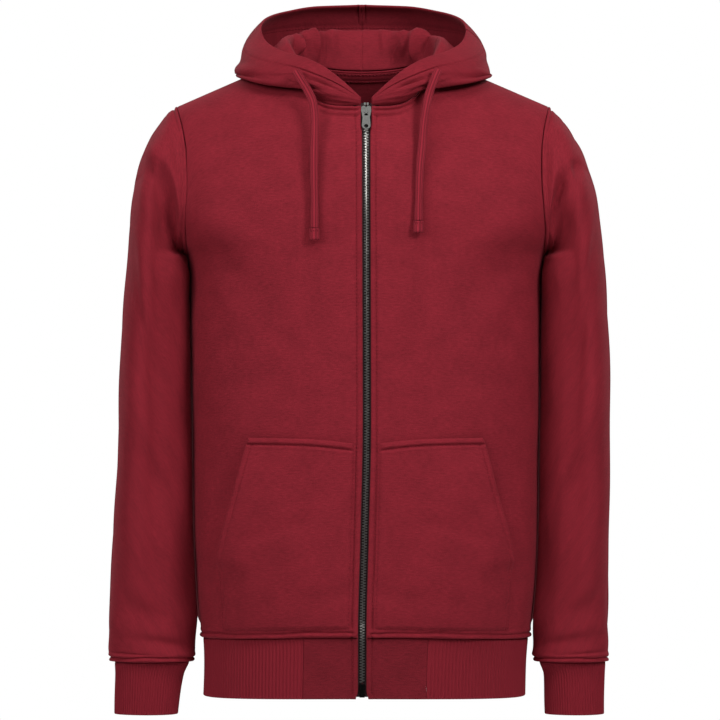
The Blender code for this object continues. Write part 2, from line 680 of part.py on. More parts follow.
def even_turns(side, height, count):
    """Angles that part a cuff ring into equal lengths."""
    fine = np.linspace(0, 2 * math.pi, 721)
    ring = cuff_ring(side, np.full(fine.shape, height), fine, 0.0)
    length = np.concatenate([[0], np.cumsum(np.linalg.norm(np.diff(ring, axis=0), axis=1))])
    return np.interp(np.arange(count) / count * length[-1], length, fine), length[-1]


def build_cuff(side, name):
    middle = CUFF[1, 0]
    _, length = even_turns(side, middle, 4)
    ribs = round(length / CUFF_RIB_PITCH)
    turns, _ = even_turns(side, middle, 2 * ribs)
    plain, _ = even_turns(side, middle, 2 * ribs // RIB_INNER_SHARE)
    relief = np.where(np.arange(2 * ribs) % 2 == 0, RIB_RELIEF, -RIB_RELIEF)
    outer = np.stack([cuff_ring(side, np.full(turns.shape, z), turns, relief)
                      for z in CUFF[:, 0]], 1)
    inner = np.stack([cuff_ring(side, np.full(plain.shape, z), plain, -RIB_WALL)
                      for z in CUFF[:, 0]], 1)
    add_object(name, *ribbed_mesh(outer, inner, True), roughness=0.92)


# ---- hem -------------------------------------------------------------------------------
def hem_path():
    """Signed side, distance and face along the hem from the left block round the back."""
    steps = HEM_PATH_STEPS
    quarter = np.linspace(0, 1, steps)
    half = table(BODY, 2, HEM_MIDDLE)
    start = spread_inverse(BLOCK_SHARE + SEAM_GAP / half)
    front = half * spread(start + (1 - start) * quarter)
    back = half * spread(quarter[::-1])
    side = np.repeat([-1.0, 1.0], [2 * steps - 1, 2 * steps - 2])
    d = np.concatenate([front, back[1:], back[::-1][1:], front[::-1][1:]])
    face = np.repeat([-1.0, 1.0, -1.0], [steps, 2 * steps - 2, steps - 1])
    return side, d / half, face


def hem_ring(side, share, face, level, offset):
    """Hem points at a share of the half width; level 0 is the seam and 1 the lower edge."""
    z = hem_height(share, face, level) - SEAM_GAP
    half = table(BODY, 2, z) - HEM_TUCK
    d = share * half
    depth = np.where(face < 0, table(BODY, 3, z), table(BODY, 4, z)) - HEM_TUCK
    y = face * depth * np.clip(1 - share ** ROUNDNESS, 0, 1) ** (1 / ROUNDNESS)
    rest = np.clip(1 - share ** ROUNDNESS, 0, 1)
    flat = unit(np.stack([side * share ** (ROUNDNESS - 1) / half,
                          face * rest ** (1 - 1 / ROUNDNESS) / depth, 0 * z], -1))
    return np.stack([centre(z) + side * d, y, z], -1) + flat * np.asarray(offset)[..., None]


def build_hem_rib():
    side, share, face = hem_path()
    ring = hem_ring(side, share, face, 0.5, np.zeros(side.shape))
    length = np.concatenate([[0], np.cumsum(np.linalg.norm(np.diff(ring, axis=0), axis=1))])
    ribs = round(length[-1] / HEM_RIB_PITCH)

    def sample(count):
        place = np.linspace(0, length[-1], count)
        near = np.clip(np.round(np.interp(place, length, np.arange(len(length)))).astype(int),
                       0, len(length) - 1)
        signed = side * share
        around = np.interp(place, length, np.arange(len(length)))
        return (np.where(side[near] < 0, -1.0, 1.0),
                np.abs(np.interp(around, np.arange(len(length)), signed)), face[near])

    count = 2 * ribs + 1
    relief = np.where(np.arange(count) % 2 == 0, RIB_RELIEF, -RIB_RELIEF)
    where = sample(count)
    outer = np.stack([hem_ring(*where, level, relief) for level in (0.0, 1.0)], 1)
    plain = count // RIB_INNER_SHARE + 1
    where = sample(plain)
    inner = np.stack([hem_ring(*where, level, np.full(plain, -RIB_WALL))
                      for level in (0.0, 1.0)], 1)
    add_object("hem_rib", *ribbed_mesh(outer, inner, False), roughness=0.92)


def build_hem_block(side, name):
    levels = np.array([0.0, 0.35, 0.7, 1.0])
    columns = np.linspace(0, 1, 6)
    u, level = np.meshgrid(columns, levels, indexing="ij")
    z = HEM_SEAM + (HEM_END - HEM_SEAM) * level
    inner = zip_distance(side, z) / (table(BODY, 2, z) - HEM_TUCK)
    share = inner + (BLOCK_SHARE - inner) * u
    sides, faces = np.full(u.shape, float(side)), np.full(u.shape, -1.0)
    outer = hem_ring(sides, share, faces, level, 0 * u)
    inner = hem_ring(sides, share, faces, level, 0 * u - RIB_WALL)
    add_object(name, *wall_mesh(outer, inner))


# ---- pockets ---------------------------------------------------------------------------
def build_pocket(side, name):
    heights = np.concatenate([np.linspace(POCKET_FOOT[1], POCKET_MOUTH_END[1], 3),
                              np.linspace(POCKET_MOUTH_END[1], POCKET_TOP, 7)[1:]])
    u, z = np.meshgrid(POCKET_COLUMNS, heights, indexing="ij")
    edge = np.interp(z, [POCKET_FOOT[1], POCKET_MOUTH_END[1], POCKET_TOP],
                     [POCKET_FOOT[0], POCKET_MOUTH_END[0], POCKET_CORNER])
    start = side * (table(ZIP_LINE, 1, z) - centre(z)) + POCKET_INNER
    d = start + (edge - start) * u
    rise = (z - POCKET_FOOT[1]) / (POCKET_TOP - POCKET_FOOT[1])
    share = d / POCKET_MOUTH_END[0] * POCKET_FOOT_SHARE
    foot = hem_height(share, -1, 0.0) + POCKET_FOOT_CLEAR
    z = z + (foot - POCKET_FOOT[1]) * (1 - rise) ** 2 + POCKET_TOP_SAG * rise * (1 - u) ** 3
    sewn = 1 - smoothstep((z - POCKET_MOUTH_END[1]) / MOUTH_CLOSE)
    open_side = 1 - sewn * smoothstep((u - MOUTH_OPEN) / (1 - MOUTH_OPEN))
    arch = np.sin(math.pi * np.clip(rise, 0, 1)) ** PUFF_POWER
    puff = POCKET_PUFF * smoothstep(u / PUFF_START) * arch * open_side
    base = body_point(side, d, z, -1)
    normal = body_normal(side, d, z, -1)
    inner = base + normal * (POCKET_LIFT + puff)[..., None]
    outer = inner + normal * CLOTH
    add_object(name, *wall_mesh(outer, inner))


# ---- hood ------------------------------------------------------------------------------
def neck_edge(side):
    """Outer and inner points of the neckline's edge, and the way out of the panel."""
    parts = []
    for face in (-1, 1):
        count = (NECK_FRONT_STEPS if face < 0 else NECK_BACK_STEPS) + 1
        outer, inner, normal = panel_half(side, face, COLUMNS[side, face][0], panel_rows())
        ring = [a[:count, -1] for a in (outer, inner, normal)]
        parts.append([a if face < 0 else a[::-1] for a in ring])
    outer, inner, normal = (np.concatenate([a, b]) for a, b in zip(*parts))
    along = np.gradient(outer, axis=0)
    away = unit(np.cross(along, normal))
    towards = np.stack([-outer[:, 0], NECK_AXIS_Y - outer[:, 1], 60 + 0 * outer[:, 0]], -1)
    away *= np.sign((away * towards).sum(-1, keepdims=True))
    tip = NECK_FRONT_STEPS
    away[tip:tip + 2] = unit(away[tip - 1] + away[tip + 2])
    return outer, inner, away


def hood_grid(side):
    """Outer and inner grids of one half of the hood, from the neck seam to the rim."""
    edge, edge_inner, away = neck_edge(side)
    start = edge + away * SEAM_GAP
    front_share = np.clip((HOOD_TURN[0] - edge[:, 1]) / HOOD_TURN[1], 0, 1)
    middle_x = HOOD_CENTRE_BACK + (HOOD_CENTRE_FRONT - HOOD_CENTRE_BACK) * front_share
    across = side * (start[:, 0] - middle_x)
    angle = np.degrees(np.arctan2(np.maximum(across, 0), NECK_AXIS_Y - start[:, 1]))
    start_r = np.hypot(across, start[:, 1] - NECK_AXIS_Y)
    section = np.stack([pchip(angle, HOOD[:, 0], HOOD[:, k]) for k in range(1, HOOD.shape[1])], -1)
    section = section.reshape(len(angle), -1, 2)
    section = np.concatenate([np.stack([start_r, start[:, 2]], -1)[:, None], section], 1)
    place = hood_places()
    outer, inner = [], []
    radians = np.radians(angle)
    for k in range(len(angle)):
        line = catmull(place, section[k])
        ahead = catmull(np.minimum(place + 0.02, 6.0), section[k])
        behind = catmull(np.maximum(place - 0.02, 0.0), section[k])
        tangent = unit(ahead - behind)
        normal = np.stack([tangent[:, 1], -tangent[:, 0]], -1)
        fade = smoothstep(angle[k] / BAND_FADE - BAND_FADE_START)
        band = smoothstep((place - BAND_START) / BAND_STEP) * fade
        out = line + normal * (BAND_OUTSIDE * band)[:, None]
        ins = line - normal * (CLOTH + BAND_INSIDE * band)[:, None]
        way = np.array([math.sin(radians[k]) * side, -math.cos(radians[k])])
        for target, rz in ((outer, out), (inner, ins)):
            target.append(np.stack([middle_x[k] + rz[:, 0] * way[0],
                                    NECK_AXIS_Y + rz[:, 0] * way[1], rz[:, 1]], -1))
    outer, inner = np.array(outer), np.array(inner)
    outer[:, 0] = start
    inner[:, 0] = edge_inner + away * SEAM_GAP
    outer[-1, :, 0] = inner[-1, :, 0] = side * SEAM_HALF
    return outer, inner


def hood_places():
    """Places of the rows along a section, close at its folds and at the casing's seam."""
    return np.array([0.0, 0.4, 0.8, 1.05, 1.35, 2.0, 2.6, 2.9, 3.2, 3.6,
                     4.0, 4.5, BAND_START, BAND_START + BAND_STEP, 5.5, 6.0])


def build_hood():
    for side, name in ((-1, "hood_left"), (1, "hood_right")):
        outer, inner = hood_grid(side)
        add_object(name, *wall_mesh(outer, inner))


# ---- neck tape -------------------------------------------------------------------------
def build_neck_tape():
    """A band sewn inside the back neck, a little below its edge."""
    signed = np.linspace(-NECK_TAPE_HALF, NECK_TAPE_HALF, 17)
    x, drop = np.meshgrid(signed, np.array(NECK_TAPE_DROP), indexing="ij")
    side, d = np.where(x < 0, -1.0, 1.0), np.abs(x)
    z = neck_height(d, 1) - drop
    base = body_point(side, d, z, 1)
    normal = body_normal(side, d, z, 1)
    outer = base - normal * (CLOTH + 3 * SEAM_GAP)
    add_object("neck_tape", *wall_mesh(outer, outer - normal * TAPE_THICK))


# ---- zip -------------------------------------------------------------------------------
def zip_frame(z):
    """Middle of the zip at heights z, on the fronts' outer face, and its outward normal."""
    x = table(ZIP_LINE, 1, z)
    side = np.where(x >= centre(z), 1.0, -1.0)
    depth_body = body_point(side, np.abs(x - centre(z)), z, -1)[..., 1]
    seam = HEM_SEAM + HEM_SEAM_FRONT_LIFT
    tuck = ZIP_TUCK * smoothstep((seam + 2 * ZIP_TUCK_HEIGHT - z) / ZIP_TUCK_HEIGHT)
    y = depth_body + tuck
    slope = np.gradient(y, z)
    normal = unit(np.stack([0 * z, -np.ones(len(z)), slope], -1))
    return np.stack([x, y, z], -1), normal


def zip_strip(name, z, inner, outer, front, back, **look):
    """A strip along the zip between two distances from its middle and two depths."""
    middle, normal = zip_frame(z)
    across = np.array([1.0, 0.0, 0.0])
    grid = [np.stack([middle + across * x + normal * depth for x in (inner, outer)])
            for depth in (front, back)]
    return add_object(name, *wall_mesh(*grid), **look)


def zip_heights(low, bend, high):
    """Heights along the zip: even over the chest, and close where it draws in at the hem."""
    return np.concatenate([np.linspace(low, bend[0], 4)[:-1], bend,
                           np.linspace(bend[-1], high, ZIP_STEPS)[1:]])


def build_zip():
    seam = HEM_SEAM + HEM_SEAM_FRONT_LIFT
    bend = seam + ZIP_TUCK_HEIGHT * BEND_PLACES
    tape_z = zip_heights(HEM_END + HEM_END_FRONT_LIFT + 2.0, bend, ZIP_TOP)
    chain_z = zip_heights(ZIP_FOOT + SEAM_GAP, bend, CHAIN_TOP)
    stop_z = np.array([STOP_FOOT, ZIP_TOP])
    for side, end in ((-1, "left"), (1, "right")):
        zip_strip("zip_tape_" + end, tape_z, side * (TEETH_HALF + SEAM_GAP),
                  side * ZIP_TAPE_EDGE, ZIP_TAPE_FRONT, ZIP_TAPE_BACK, colour=TAPE)
        zip_strip("zip_teeth_" + end, chain_z, side * SEAM_HALF, side * TEETH_HALF,
                  TEETH_FRONT, TEETH_BACK, colour=GUNMETAL, roughness=0.4, metallic=1.0)
        zip_strip("zip_stop_" + end, stop_z, side * STOP_INNER, side * TEETH_HALF, TEETH_FRONT,
                  TEETH_BACK, colour=GUNMETAL, roughness=0.35, metallic=1.0)
    box_z = np.array([ZIP_FOOT - BOX_LENGTH, ZIP_FOOT])
    zip_strip("zip_box", box_z, -BOX_HALF, BOX_HALF, TEETH_FRONT + BOX_CLEAR,
              TEETH_BACK - BOX_CLEAR,
              colour=GUNMETAL, roughness=0.35, metallic=1.0)


def slider_matrix():
    z = np.array([SLIDER_Z - 1, SLIDER_Z, SLIDER_Z + 1])
    middle, normal = zip_frame(z)
    out = Vector(normal[1])
    across = Vector((1, 0, 0))
    matrix = Matrix((across, out, across.cross(out) * -1)).transposed().to_4x4()
    if matrix.col[2].z < 0:
        matrix.col[2] *= -1
    matrix.translation = Vector(middle[1] * MM)
    return matrix


def block(bounds):
    """Points and faces of a box from (x0, x1, y0, y1, z0, z1)."""
    x0, x1, y0, y1, z0, z1 = bounds
    points = [(x, y, z) for x in (x0, x1) for y in (y0, y1) for z in (z0, z1)]
    faces = [(0, 1, 3, 2), (4, 6, 7, 5), (0, 4, 5, 1), (2, 3, 7, 6), (0, 2, 6, 4), (1, 5, 7, 3)]
    return points, faces


def prism(outline, low, high, axis):
    """Extrude a closed outline between two places on an axis (0 for x, 1 for y)."""
    count = len(outline)
    points = []
    for place in (low, high):
        for a, b in outline:
            points.append((place, a, b) if axis == 0 else (a, place, b))
    faces = [tuple(range(count))[::-1], tuple(range(count, 2 * count))]
    faces += [(i, (i + 1) % count, (i + 1) % count + count, i + count) for i in range(count)]
    return points, faces


def boolean(target, tool, operation):
    tool.hide_render = True
    tool.display_type = "WIRE"
    made = target.modifiers.new(operation.title(), "BOOLEAN")
    made.operation = operation
    made.object = tool
    made.solver = "EXACT"


def build_slider():
    metal = {"colour": GUNMETAL, "roughness": 0.3, "metallic": 1.0}
    matrix = slider_matrix()
    half = SLIDER_OUTLINE * np.array([SLIDER_HALF_WIDTH, SLIDER_HALF_LENGTH])
    outline = [tuple(p) for p in half] + [(-x, z) for x, z in half[::-1]]
    face = SLIDER_FRONT + SLIDER_PLATE
    slider = add_object("zip_slider", *prism(outline, SLIDER_FRONT, face, 1), **metal)
    post_x, post_foot, post_top = SLIDER_POST
    post = block((-post_x, post_x, SLIDER_BACK - SLIDER_OVERLAP, SLIDER_FRONT + SLIDER_OVERLAP,
                  post_foot, post_top))
    parts = [("slider_back_plate", prism(outline, SLIDER_BACK - SLIDER_PLATE, SLIDER_BACK, 1)),
             ("slider_post", post)]
    axis_z = -AXIS_BELOW
    root = face - SLIDER_OVERLAP
    bar_in = face + AXIS_CLEAR + BAIL_GAP
    bar_out = bar_in + BAIL_BAR
    foot, top = axis_z - BAIL_FOOT, BAIL_TOP
    under = top - BAIL_BAR
    (out_in, out_down), (in_in, in_down) = BAIL_ROUND_OUT, BAIL_ROUND_IN
    arch = [(root, foot), (bar_out, foot), (bar_out, top - out_down), (bar_out - out_in, top),
            (root, top), (root, under), (bar_in - in_in, under), (bar_in, under - in_down),
            (bar_in, foot + BAIL_BAR), (root, foot + BAIL_BAR)]
    parts.append(("slider_bail", prism(arch, -BAIL_HALF_WIDTH, BAIL_HALF_WIDTH, 0)))
    for name, shape in parts:
        tool = add_object(name, *shape, **metal)
        tool.matrix_world = matrix
        boolean(slider, tool, "UNION")
    slider.matrix_world = matrix
    build_pull(matrix, face + AXIS_CLEAR, axis_z, metal)


def build_pull(matrix, axis_y, axis_z, metal):
    """The pull tab, with its origin on the axis where its eye rides on the bail."""
    w = PULL_HALF_WIDTH
    lower = [(-w * math.cos(a), -PULL_LENGTH + w - w * math.sin(a))
             for a in np.linspace(0, math.pi, 13)]
    below, at_top, drop = PULL_SHOULDER
    right = [(w * PULL_WAIST[0], PULL_WAIST[1]), (w * below, PULL_WEB - drop),
             (w * at_top, PULL_WEB)]
    outline = lower + right + [(-x, z) for x, z in right[::-1]]
    half = PULL_THICK / 2
    pull = add_object("zip_pull", *prism(outline, -half, half, 1), **metal)
    eye_half, eye_top, eye_low = PULL_EYE
    slot = block((-eye_half, eye_half, -PULL_THICK, PULL_THICK, eye_low, eye_top))
    eye = add_object("pull_eye", *slot, **metal)
    height, radius = PULL_HOLE
    ring = [(radius * math.cos(a), height + radius * math.sin(a))
            for a in np.linspace(0, 2 * math.pi, 17)[:-1]]
    hole = add_object("pull_hole", *prism(ring, -PULL_THICK, PULL_THICK, 1), **metal)
    place = matrix @ Matrix.Translation(Vector((0, axis_y, axis_z)) * MM)
    for tool in (eye, hole):
        tool.matrix_world = place
        boolean(pull, tool, "DIFFERENCE")
    pull.matrix_world = place


# ---- drawcords -------------------------------------------------------------------------
def build_cord(name, route, tip_name):
    """A flat tie along its route, and the folded, stitched end below it."""
    line = catmull(np.linspace(0, len(route) - 1, CORD_POINTS), route)
    curve = bpy.data.curves.new(name, "CURVE")
    curve.dimensions = "3D"
    curve.twist_mode = "Z_UP"
    curve.bevel_depth = CORD_THICK / 2 * MM
    curve.bevel_resolution = 2
    curve.extrude = (CORD_WIDTH - CORD_THICK) / 2 * MM
    curve.use_fill_caps = True
    spline = curve.splines.new("POLY")
    spline.points.add(len(line) - 1)
    turn = Matrix.Rotation(math.radians(90), 4, "Y")
    for point, place in zip(spline.points, line):
        point.co = (*(turn.inverted() @ Vector(place * MM)), 1.0)
    curve.materials.append(material(name, FLEECE, 0.85))
    cord = bpy.data.objects.new(name, curve)
    cord.matrix_world = turn
    bpy.context.scene.collection.objects.link(cord)
    way = unit(line[-1] - line[-2])
    front = unit(np.array([0.0, -1.0, 0.0]) + way * way[1])
    side = np.cross(way, front)
    around = np.linspace(0, 2 * math.pi, TIP_SIDES + 1)[:-1]
    cos, sin = np.cos(around), np.sin(around)
    flat_x = np.sign(cos) * np.abs(cos) ** TIP_SQUARE * TIP_WIDTH / 2
    flat_y = np.sign(sin) * np.abs(sin) ** TIP_SQUARE * TIP_THICK / 2
    rings = (line[-1] + way * (SEAM_GAP + TIP_LEVELS[:, None] * TIP_LENGTH))[:, None]
    section = side * flat_x[:, None] + front * flat_y[:, None]
    rings = rings + section * TIP_SWELL[:, None, None]
    add_object(tip_name, *tube_mesh(rings), roughness=0.85)


def tube_mesh(rings):
    """Close rings of points into a capped tube."""
    count, around = rings.shape[:2]
    faces = []
    for i in range(count - 1):
        for j in range(around):
            a, b = i * around + j, i * around + (j + 1) % around
            faces += [(a, b, b + around), (a, b + around, a + around)]
    faces.append(tuple(range(around))[::-1])
    faces.append(tuple(range((count - 1) * around, count * around)))
    return rings.reshape(-1, 3), faces


# ---- run -------------------------------------------------------------------------------
def main():
    for old in list(bpy.data.objects):
        bpy.data.objects.remove(old, do_unlink=True)
    build_fronts()
    build_back()
    for side, end in ((-1, "left"), (1, "right")):
        build_sleeve(side, "sleeve_" + end)
        build_cuff(side, "cuff_" + end)
        build_hem_block(side, "hem_block_" + end)
        build_pocket(side, "pocket_" + end)
    build_hem_rib()
    build_hood()
    build_neck_tape()
    build_zip()
    build_slider()
    build_cord("drawcord_left", CORD_LEFT, "drawcord_tip_left")
    build_cord("drawcord_right", CORD_RIGHT, "drawcord_tip_right")


main()
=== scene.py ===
"""Zip-up hoodie in wine-red sweatshirt fleece: the fine cloth, knit, stitching and zip
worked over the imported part.

Tables and lengths are millimetres and MM turns them into metres. +Z is up, the front faces
-Y. Each cloth piece is a grid over its own cut: an outer face worked out by a formula, and
an inner face one cloth thickness inside it, both rounded into each other at every edge.
"""
import math

import bpy
import numpy as np
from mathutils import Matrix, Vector


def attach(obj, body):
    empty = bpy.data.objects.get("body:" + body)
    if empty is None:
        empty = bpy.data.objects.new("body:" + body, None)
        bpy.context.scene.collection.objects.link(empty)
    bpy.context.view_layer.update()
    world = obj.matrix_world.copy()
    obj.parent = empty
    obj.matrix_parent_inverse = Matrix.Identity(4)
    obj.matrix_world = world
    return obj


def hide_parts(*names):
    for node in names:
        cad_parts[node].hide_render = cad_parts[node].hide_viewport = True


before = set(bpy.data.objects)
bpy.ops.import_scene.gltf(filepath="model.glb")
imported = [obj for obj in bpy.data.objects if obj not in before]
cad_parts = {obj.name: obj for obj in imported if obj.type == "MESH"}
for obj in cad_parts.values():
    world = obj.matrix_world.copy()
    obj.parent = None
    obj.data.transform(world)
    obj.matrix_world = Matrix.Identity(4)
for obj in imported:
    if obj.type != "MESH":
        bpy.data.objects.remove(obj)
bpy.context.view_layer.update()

MM = 0.001
BODY_NAME = "hoodie"
HANDS = ((-1, "left"), (1, "right"))      # as seen from the front

# ---- body, as cut ----
CLOTH = 2.0
ROUNDNESS = 2.3
BODY = np.array([
    # height, centre_x, half_width, front_depth, back_depth
    (40, 0, 240, 118, 106),
    (-20, 0.5, 240, 119, 108),
    (-60, 1.2, 240, 121, 112),
    (-100, 2.2, 240, 124, 116),
    (-130, 3, 235, 126, 118),
    (-160, 3.5, 228, 128, 119),
    (-190, 4, 212, 129, 119),
    (-214, 4, 195.7, 130, 118),
    (-240, 4, 193, 130.5, 117),
    (-300, 4, 191.8, 131, 115),
    (-400, 4.2, 190.5, 131.5, 113),
    (-510, 4.2, 189, 131, 115),
    (-580, 4.2, 185.8, 129, 116.5),
    (-612, 4.2, 182.5, 126.5, 116),
    (-630, 4, 179.6, 124, 114.5),
    (-660, 3.2, 178.3, 123, 114),
    (-700, 2.4, 178, 122.5, 114),
])
ARMHOLE = np.array([
    # height, distance of the seam from the body's centre
    (-214, 195.7),
    (-190, 196),
    (-160, 194),
    (-130, 192.5),
    (-100, 193.5),
    (-75, 197),
    (-48, 204),
])
UNDERARM = -214.0
SHOULDER_TIP = 204.0
NECK_POINT = 80.0
NECK_RIDGE = 7.0
NECK_RISE = 19.0
SHOULDER_SLOPE = 0.433
SHOULDER_TIP_HEIGHT = NECK_RIDGE - SHOULDER_SLOPE * (SHOULDER_TIP - NECK_POINT)
SHOULDER_ROUND = 200.0
FRONT_NECK = -51.0
FRONT_NECK_POWER = 4.5
BACK_NECK = -4.0
BACK_NECK_POWER = 2.2
ZIP_LINE = np.array([
    # height, x
    (-40, 4.6),
    (-80, 4.4),
    (-390, 5.2),
    (-520, 2.6),
    (-615, 0.2),
    (-700, 0),
])
ZIP_EDGE = 4.5
ZIP_EDGE_TOP = 5.6
ZIP_STITCH = 6.0               # from the folded edge to its row of stitches
HEM_SEAM = -630.0
HEM_SEAM_FRONT_LIFT = 6.0
HEM_END = -693.5
HEM_END_FRONT_LIFT = 3.5
HEM_TUCK = 1.2
BLOCK_SHARE = 0.376
HEM_ROLL = 1.8
HEM_ROLL_HEIGHT = 4.0
HEM_ROLL_REACH = 3.6
RIB_WALL = 2.2
HEM_RIB_PITCH = 4.0
CUFF_RIB_PITCH = 3.0
RIB_RELIEF = 0.5
RIB_STEPS = 6
SIDE_FADE = 45.0              # reach of the side seams' flat strip
TOP_FADE = 60.0               # reach of the shoulders' flat strip
CONTACT = 0.4                 # least gap between a sleeve and the body beside it
SLEEVE_SKEW = 0.32            # how far a sleeve's front and back ridges lean outwards
CLOSING = 7.0                 # how far a sleeve's inner side is drawn to the body
CLOSING_UNDERARM = 5.0        # and how much further under the arm
BACK_FULL = 5.6               # fullness of the back behind a sleeve
BACK_FULL_UNDERARM = 5.0
BACK_FULL_Y = 25.0
ARMHOLE_CURVE = 0.0097        # rise of the armhole's foot by the square of y
RIM_LINES = 9                 # lines at an edge that a wall's inner face keeps
SEAM = 0.15                   # half the gap between two sewn pieces

# ---- sleeves ----
SLEEVE = np.array([
    # outer_left, outer_right, outer_z, inner_left, inner_right, inner_z, half_depth, middle_y
    (202, 206, -48, 191.7, 199.7, -214, 67, 0),
    (212, 213, -54.5, 198, 206, -209.5, 68, 0),
    (221, 222, -64, 201.5, 209.5, -212, 69, 0),
    (234, 235, -84, 199.5, 207.5, -221, 71, 0),
    (243, 245.5, -106, 197.5, 205.5, -231, 73, 0),
    (250, 254, -130, 195, 203, -243, 74, 0),
    (254.5, 261, -165, 193, 200.5, -262, 74, 0),
    (258, 266, -210, 191, 198.7, -285, 73, -1),
    (263, 270, -270, 190.2, 198.4, -325, 70, -3),
    (266.5, 272.5, -345, 189.8, 197.8, -380, 65, -6),
    (268, 272.5, -420, 189, 197.4, -440, 59, -9),
    (272, 271.5, -495, 187.8, 196.4, -505, 52.5, -12),
    (276, 270.5, -560, 186, 193.8, -563, 45, -14),
    (277.6, 269.8, -610, 184, 189.5, -610, 37.5, -15),
    (277.8, 269.8, -638, 183.4, 187.6, -638, 33.5, -15),
    (277.6, 270.6, -650, 183.6, 187.8, -650, 33.5, -15),
    (276.4, 270, -656.4, 185.4, 189.4, -656.4, 32, -15),
])
SLEEVE_FADE_RINGS = 5.0
CUFF = np.array([
    # height, outer_left, outer_right, inner_left, inner_right, half_depth
    (-656.3, 271.8, 266.4, 190, 194, 28),
    (-671, 270.8, 265.8, 196.4, 199.6, 25.5),
    (-714, 271, 266, 202, 201.6, 24.5),
])
CUFF_MIDDLE_Y = -15.0

# ---- hood ----
NECK_AXIS_Y = -15.0
HOOD = np.array([
    # angle, crest_r, crest_z, inside_r, inside_z, foot_r, foot_z,
    #        bulge_r, bulge_z, band_r, band_z, rim_r, rim_z
    (3, 80.9, -49.8, 81.5, -48.6, 82, -47.3, 82.3, -46, 82.4, -44.6, 82.2, -43),
    (20, 85.5, -47.5, 88.5, -44, 90.3, -39.5, 90.5, -34, 88, -28, 84.5, -20.5),
    (34, 88.5, -41, 93, -38, 97.5, -34.5, 99, -26.5, 94.5, -17.5, 86.5, -6),
    (50, 87, -20, 94, -23, 102.5, -31, 108, -24, 101.5, -8, 89, 4),
    (66, 84, 6, 94, -3, 117, -25, 125.5, -20, 113.5, -1, 96, 11),
    (84, 84.5, 22, 96.5, 13, 130, -15.5, 142, -13, 127, 9, 107, 23),
    (100, 85, 28, 98.5, 18, 132, -11.5, 145.5, -10, 134, 21, 115.5, 39),
    (117, 85.5, 32, 100, 18, 131, -20, 150, -10, 139.5, 34, 122.5, 53.5),
    (138, 84.5, 36, 101, 17, 138, -62, 161, -24, 146, 45, 129.5, 65),
    (158, 83.5, 39, 101, 16, 147, -108, 170, -38, 149, 51, 131.5, 73),
    (180, 83, 40, 101, 15, 151, -126, 174, -44, 150, 53, 131.5, 75.5),
])
HOOD_CENTRE_FRONT = 4.6
HOOD_CENTRE_BACK = 0.0
BAND_START = 5.0
BAND_OUTSIDE = 1.0
BAND_FADE = 20.0

# ---- pockets ----
POCKET_TOP = -409.5
POCKET_TOP_SAG = -6.0
POCKET_INNER = 12.2
POCKET_CORNER = 124.5
POCKET_MOUTH_END = (159.5, -558.0)
POCKET_FOOT = (155.5, -620.0)
POCKET_FOOT_CLEAR = 7.6
POCKET_EDGE = 0.5             # height of the pocket's sewn edges over the front
POCKET_PUFF = 7.0
POCKET_LIFT = 0.5
MOUTH_CLOSE = 18.0

# ---- drawcords ----
CORD_WIDTH = 9.0
CORD_THICK = 3.0
TIP_WIDTH = 11.0
TIP_THICK = 4.6
TIP_LENGTH = 13.0
CORD_LEFT = np.array([
    # x, y, z
    (-71.5, -93, -13),
    (-68.7, -96.5, -18),
    (-64.8, -99.2, -24.5),
    (-59, -101, -34),
    (-53.5, -105.5, -46),
    (-51.3, -110.5, -60),
    (-51, -117, -80),
    (-51.7, -122.5, -105),
    (-51.5, -127, -131),
    (-51, -130, -158),
    (-51, -132, -184),
])
CORD_RIGHT = np.array([
    # x, y, z
    (82.3, -91.5, -12),
    (80, -95.2, -17.5),
    (76.6, -98.4, -26),
    (72.5, -100.5, -38),
    (69.5, -105, -51),
    (66.3, -111, -72),
    (64.3, -118, -98),
    (62.2, -123.5, -121),
    (61.1, -128.5, -150),
    (60.6, -131, -176),
])

# ---- folds: soft troughs (negative depth) and ridges (positive) ----
FOLDS = np.array([
    # face, x, z, to_x, to_z, width, depth
    (-1, -185, -190, -120, -250, 15, -3.2),
    (-1, -180, -165, -115, -205, 18, 2.2),
    (-1, -186, -215, -150, -300, 12, -2.2),
    (-1, 190, -195, 125, -262, 15, -3.2),
    (-1, 186, -165, 118, -215, 18, 2.2),
    (-1, 192, -222, 158, -305, 12, -2.4),
    (-1, -150, -330, -60, -372, 22, -1.5),
    (-1, 70, -322, 165, -360, 22, -1.6),
    (-1, -165, -395, -132, -520, 14, -2),
    (-1, 172, -395, 140, -505, 14, -2),
    (-1, -120, -60, -95, -165, 24, -1.8),
    (-1, 132, -60, 104, -165, 24, -1.8),
    (-1, -30, -150, -22, -330, 26, -1.2),
    (-1, 38, -170, 34, -350, 26, -1.2),
    (-1, -131, -414, -168, -552, 6.5, -2.6),
    (-1, 131, -414, 168, -552, 6.5, -2.6),
    (-1, -168, -560, -164, -618, 6, -1.6),
    (-1, 168, -560, 164, -618, 6, -1.6),
    (1, -185, -200, -95, -275, 17, -3.4),
    (1, 190, -200, 100, -268, 17, -3.4),
    (1, -182, -232, -140, -345, 14, -2.4),
    (1, 190, -228, 150, -352, 14, -2.4),
    (1, -70, -150, -30, -330, 26, -2.2),
    (1, 74, -145, 36, -338, 26, -2.2),
    (1, -130, -520, 120, -548, 20, -2),
    (1, -110, -470, 90, -482, 24, 1.4),
    (1, -150, -600, 20, -590, 14, -1.4),
])
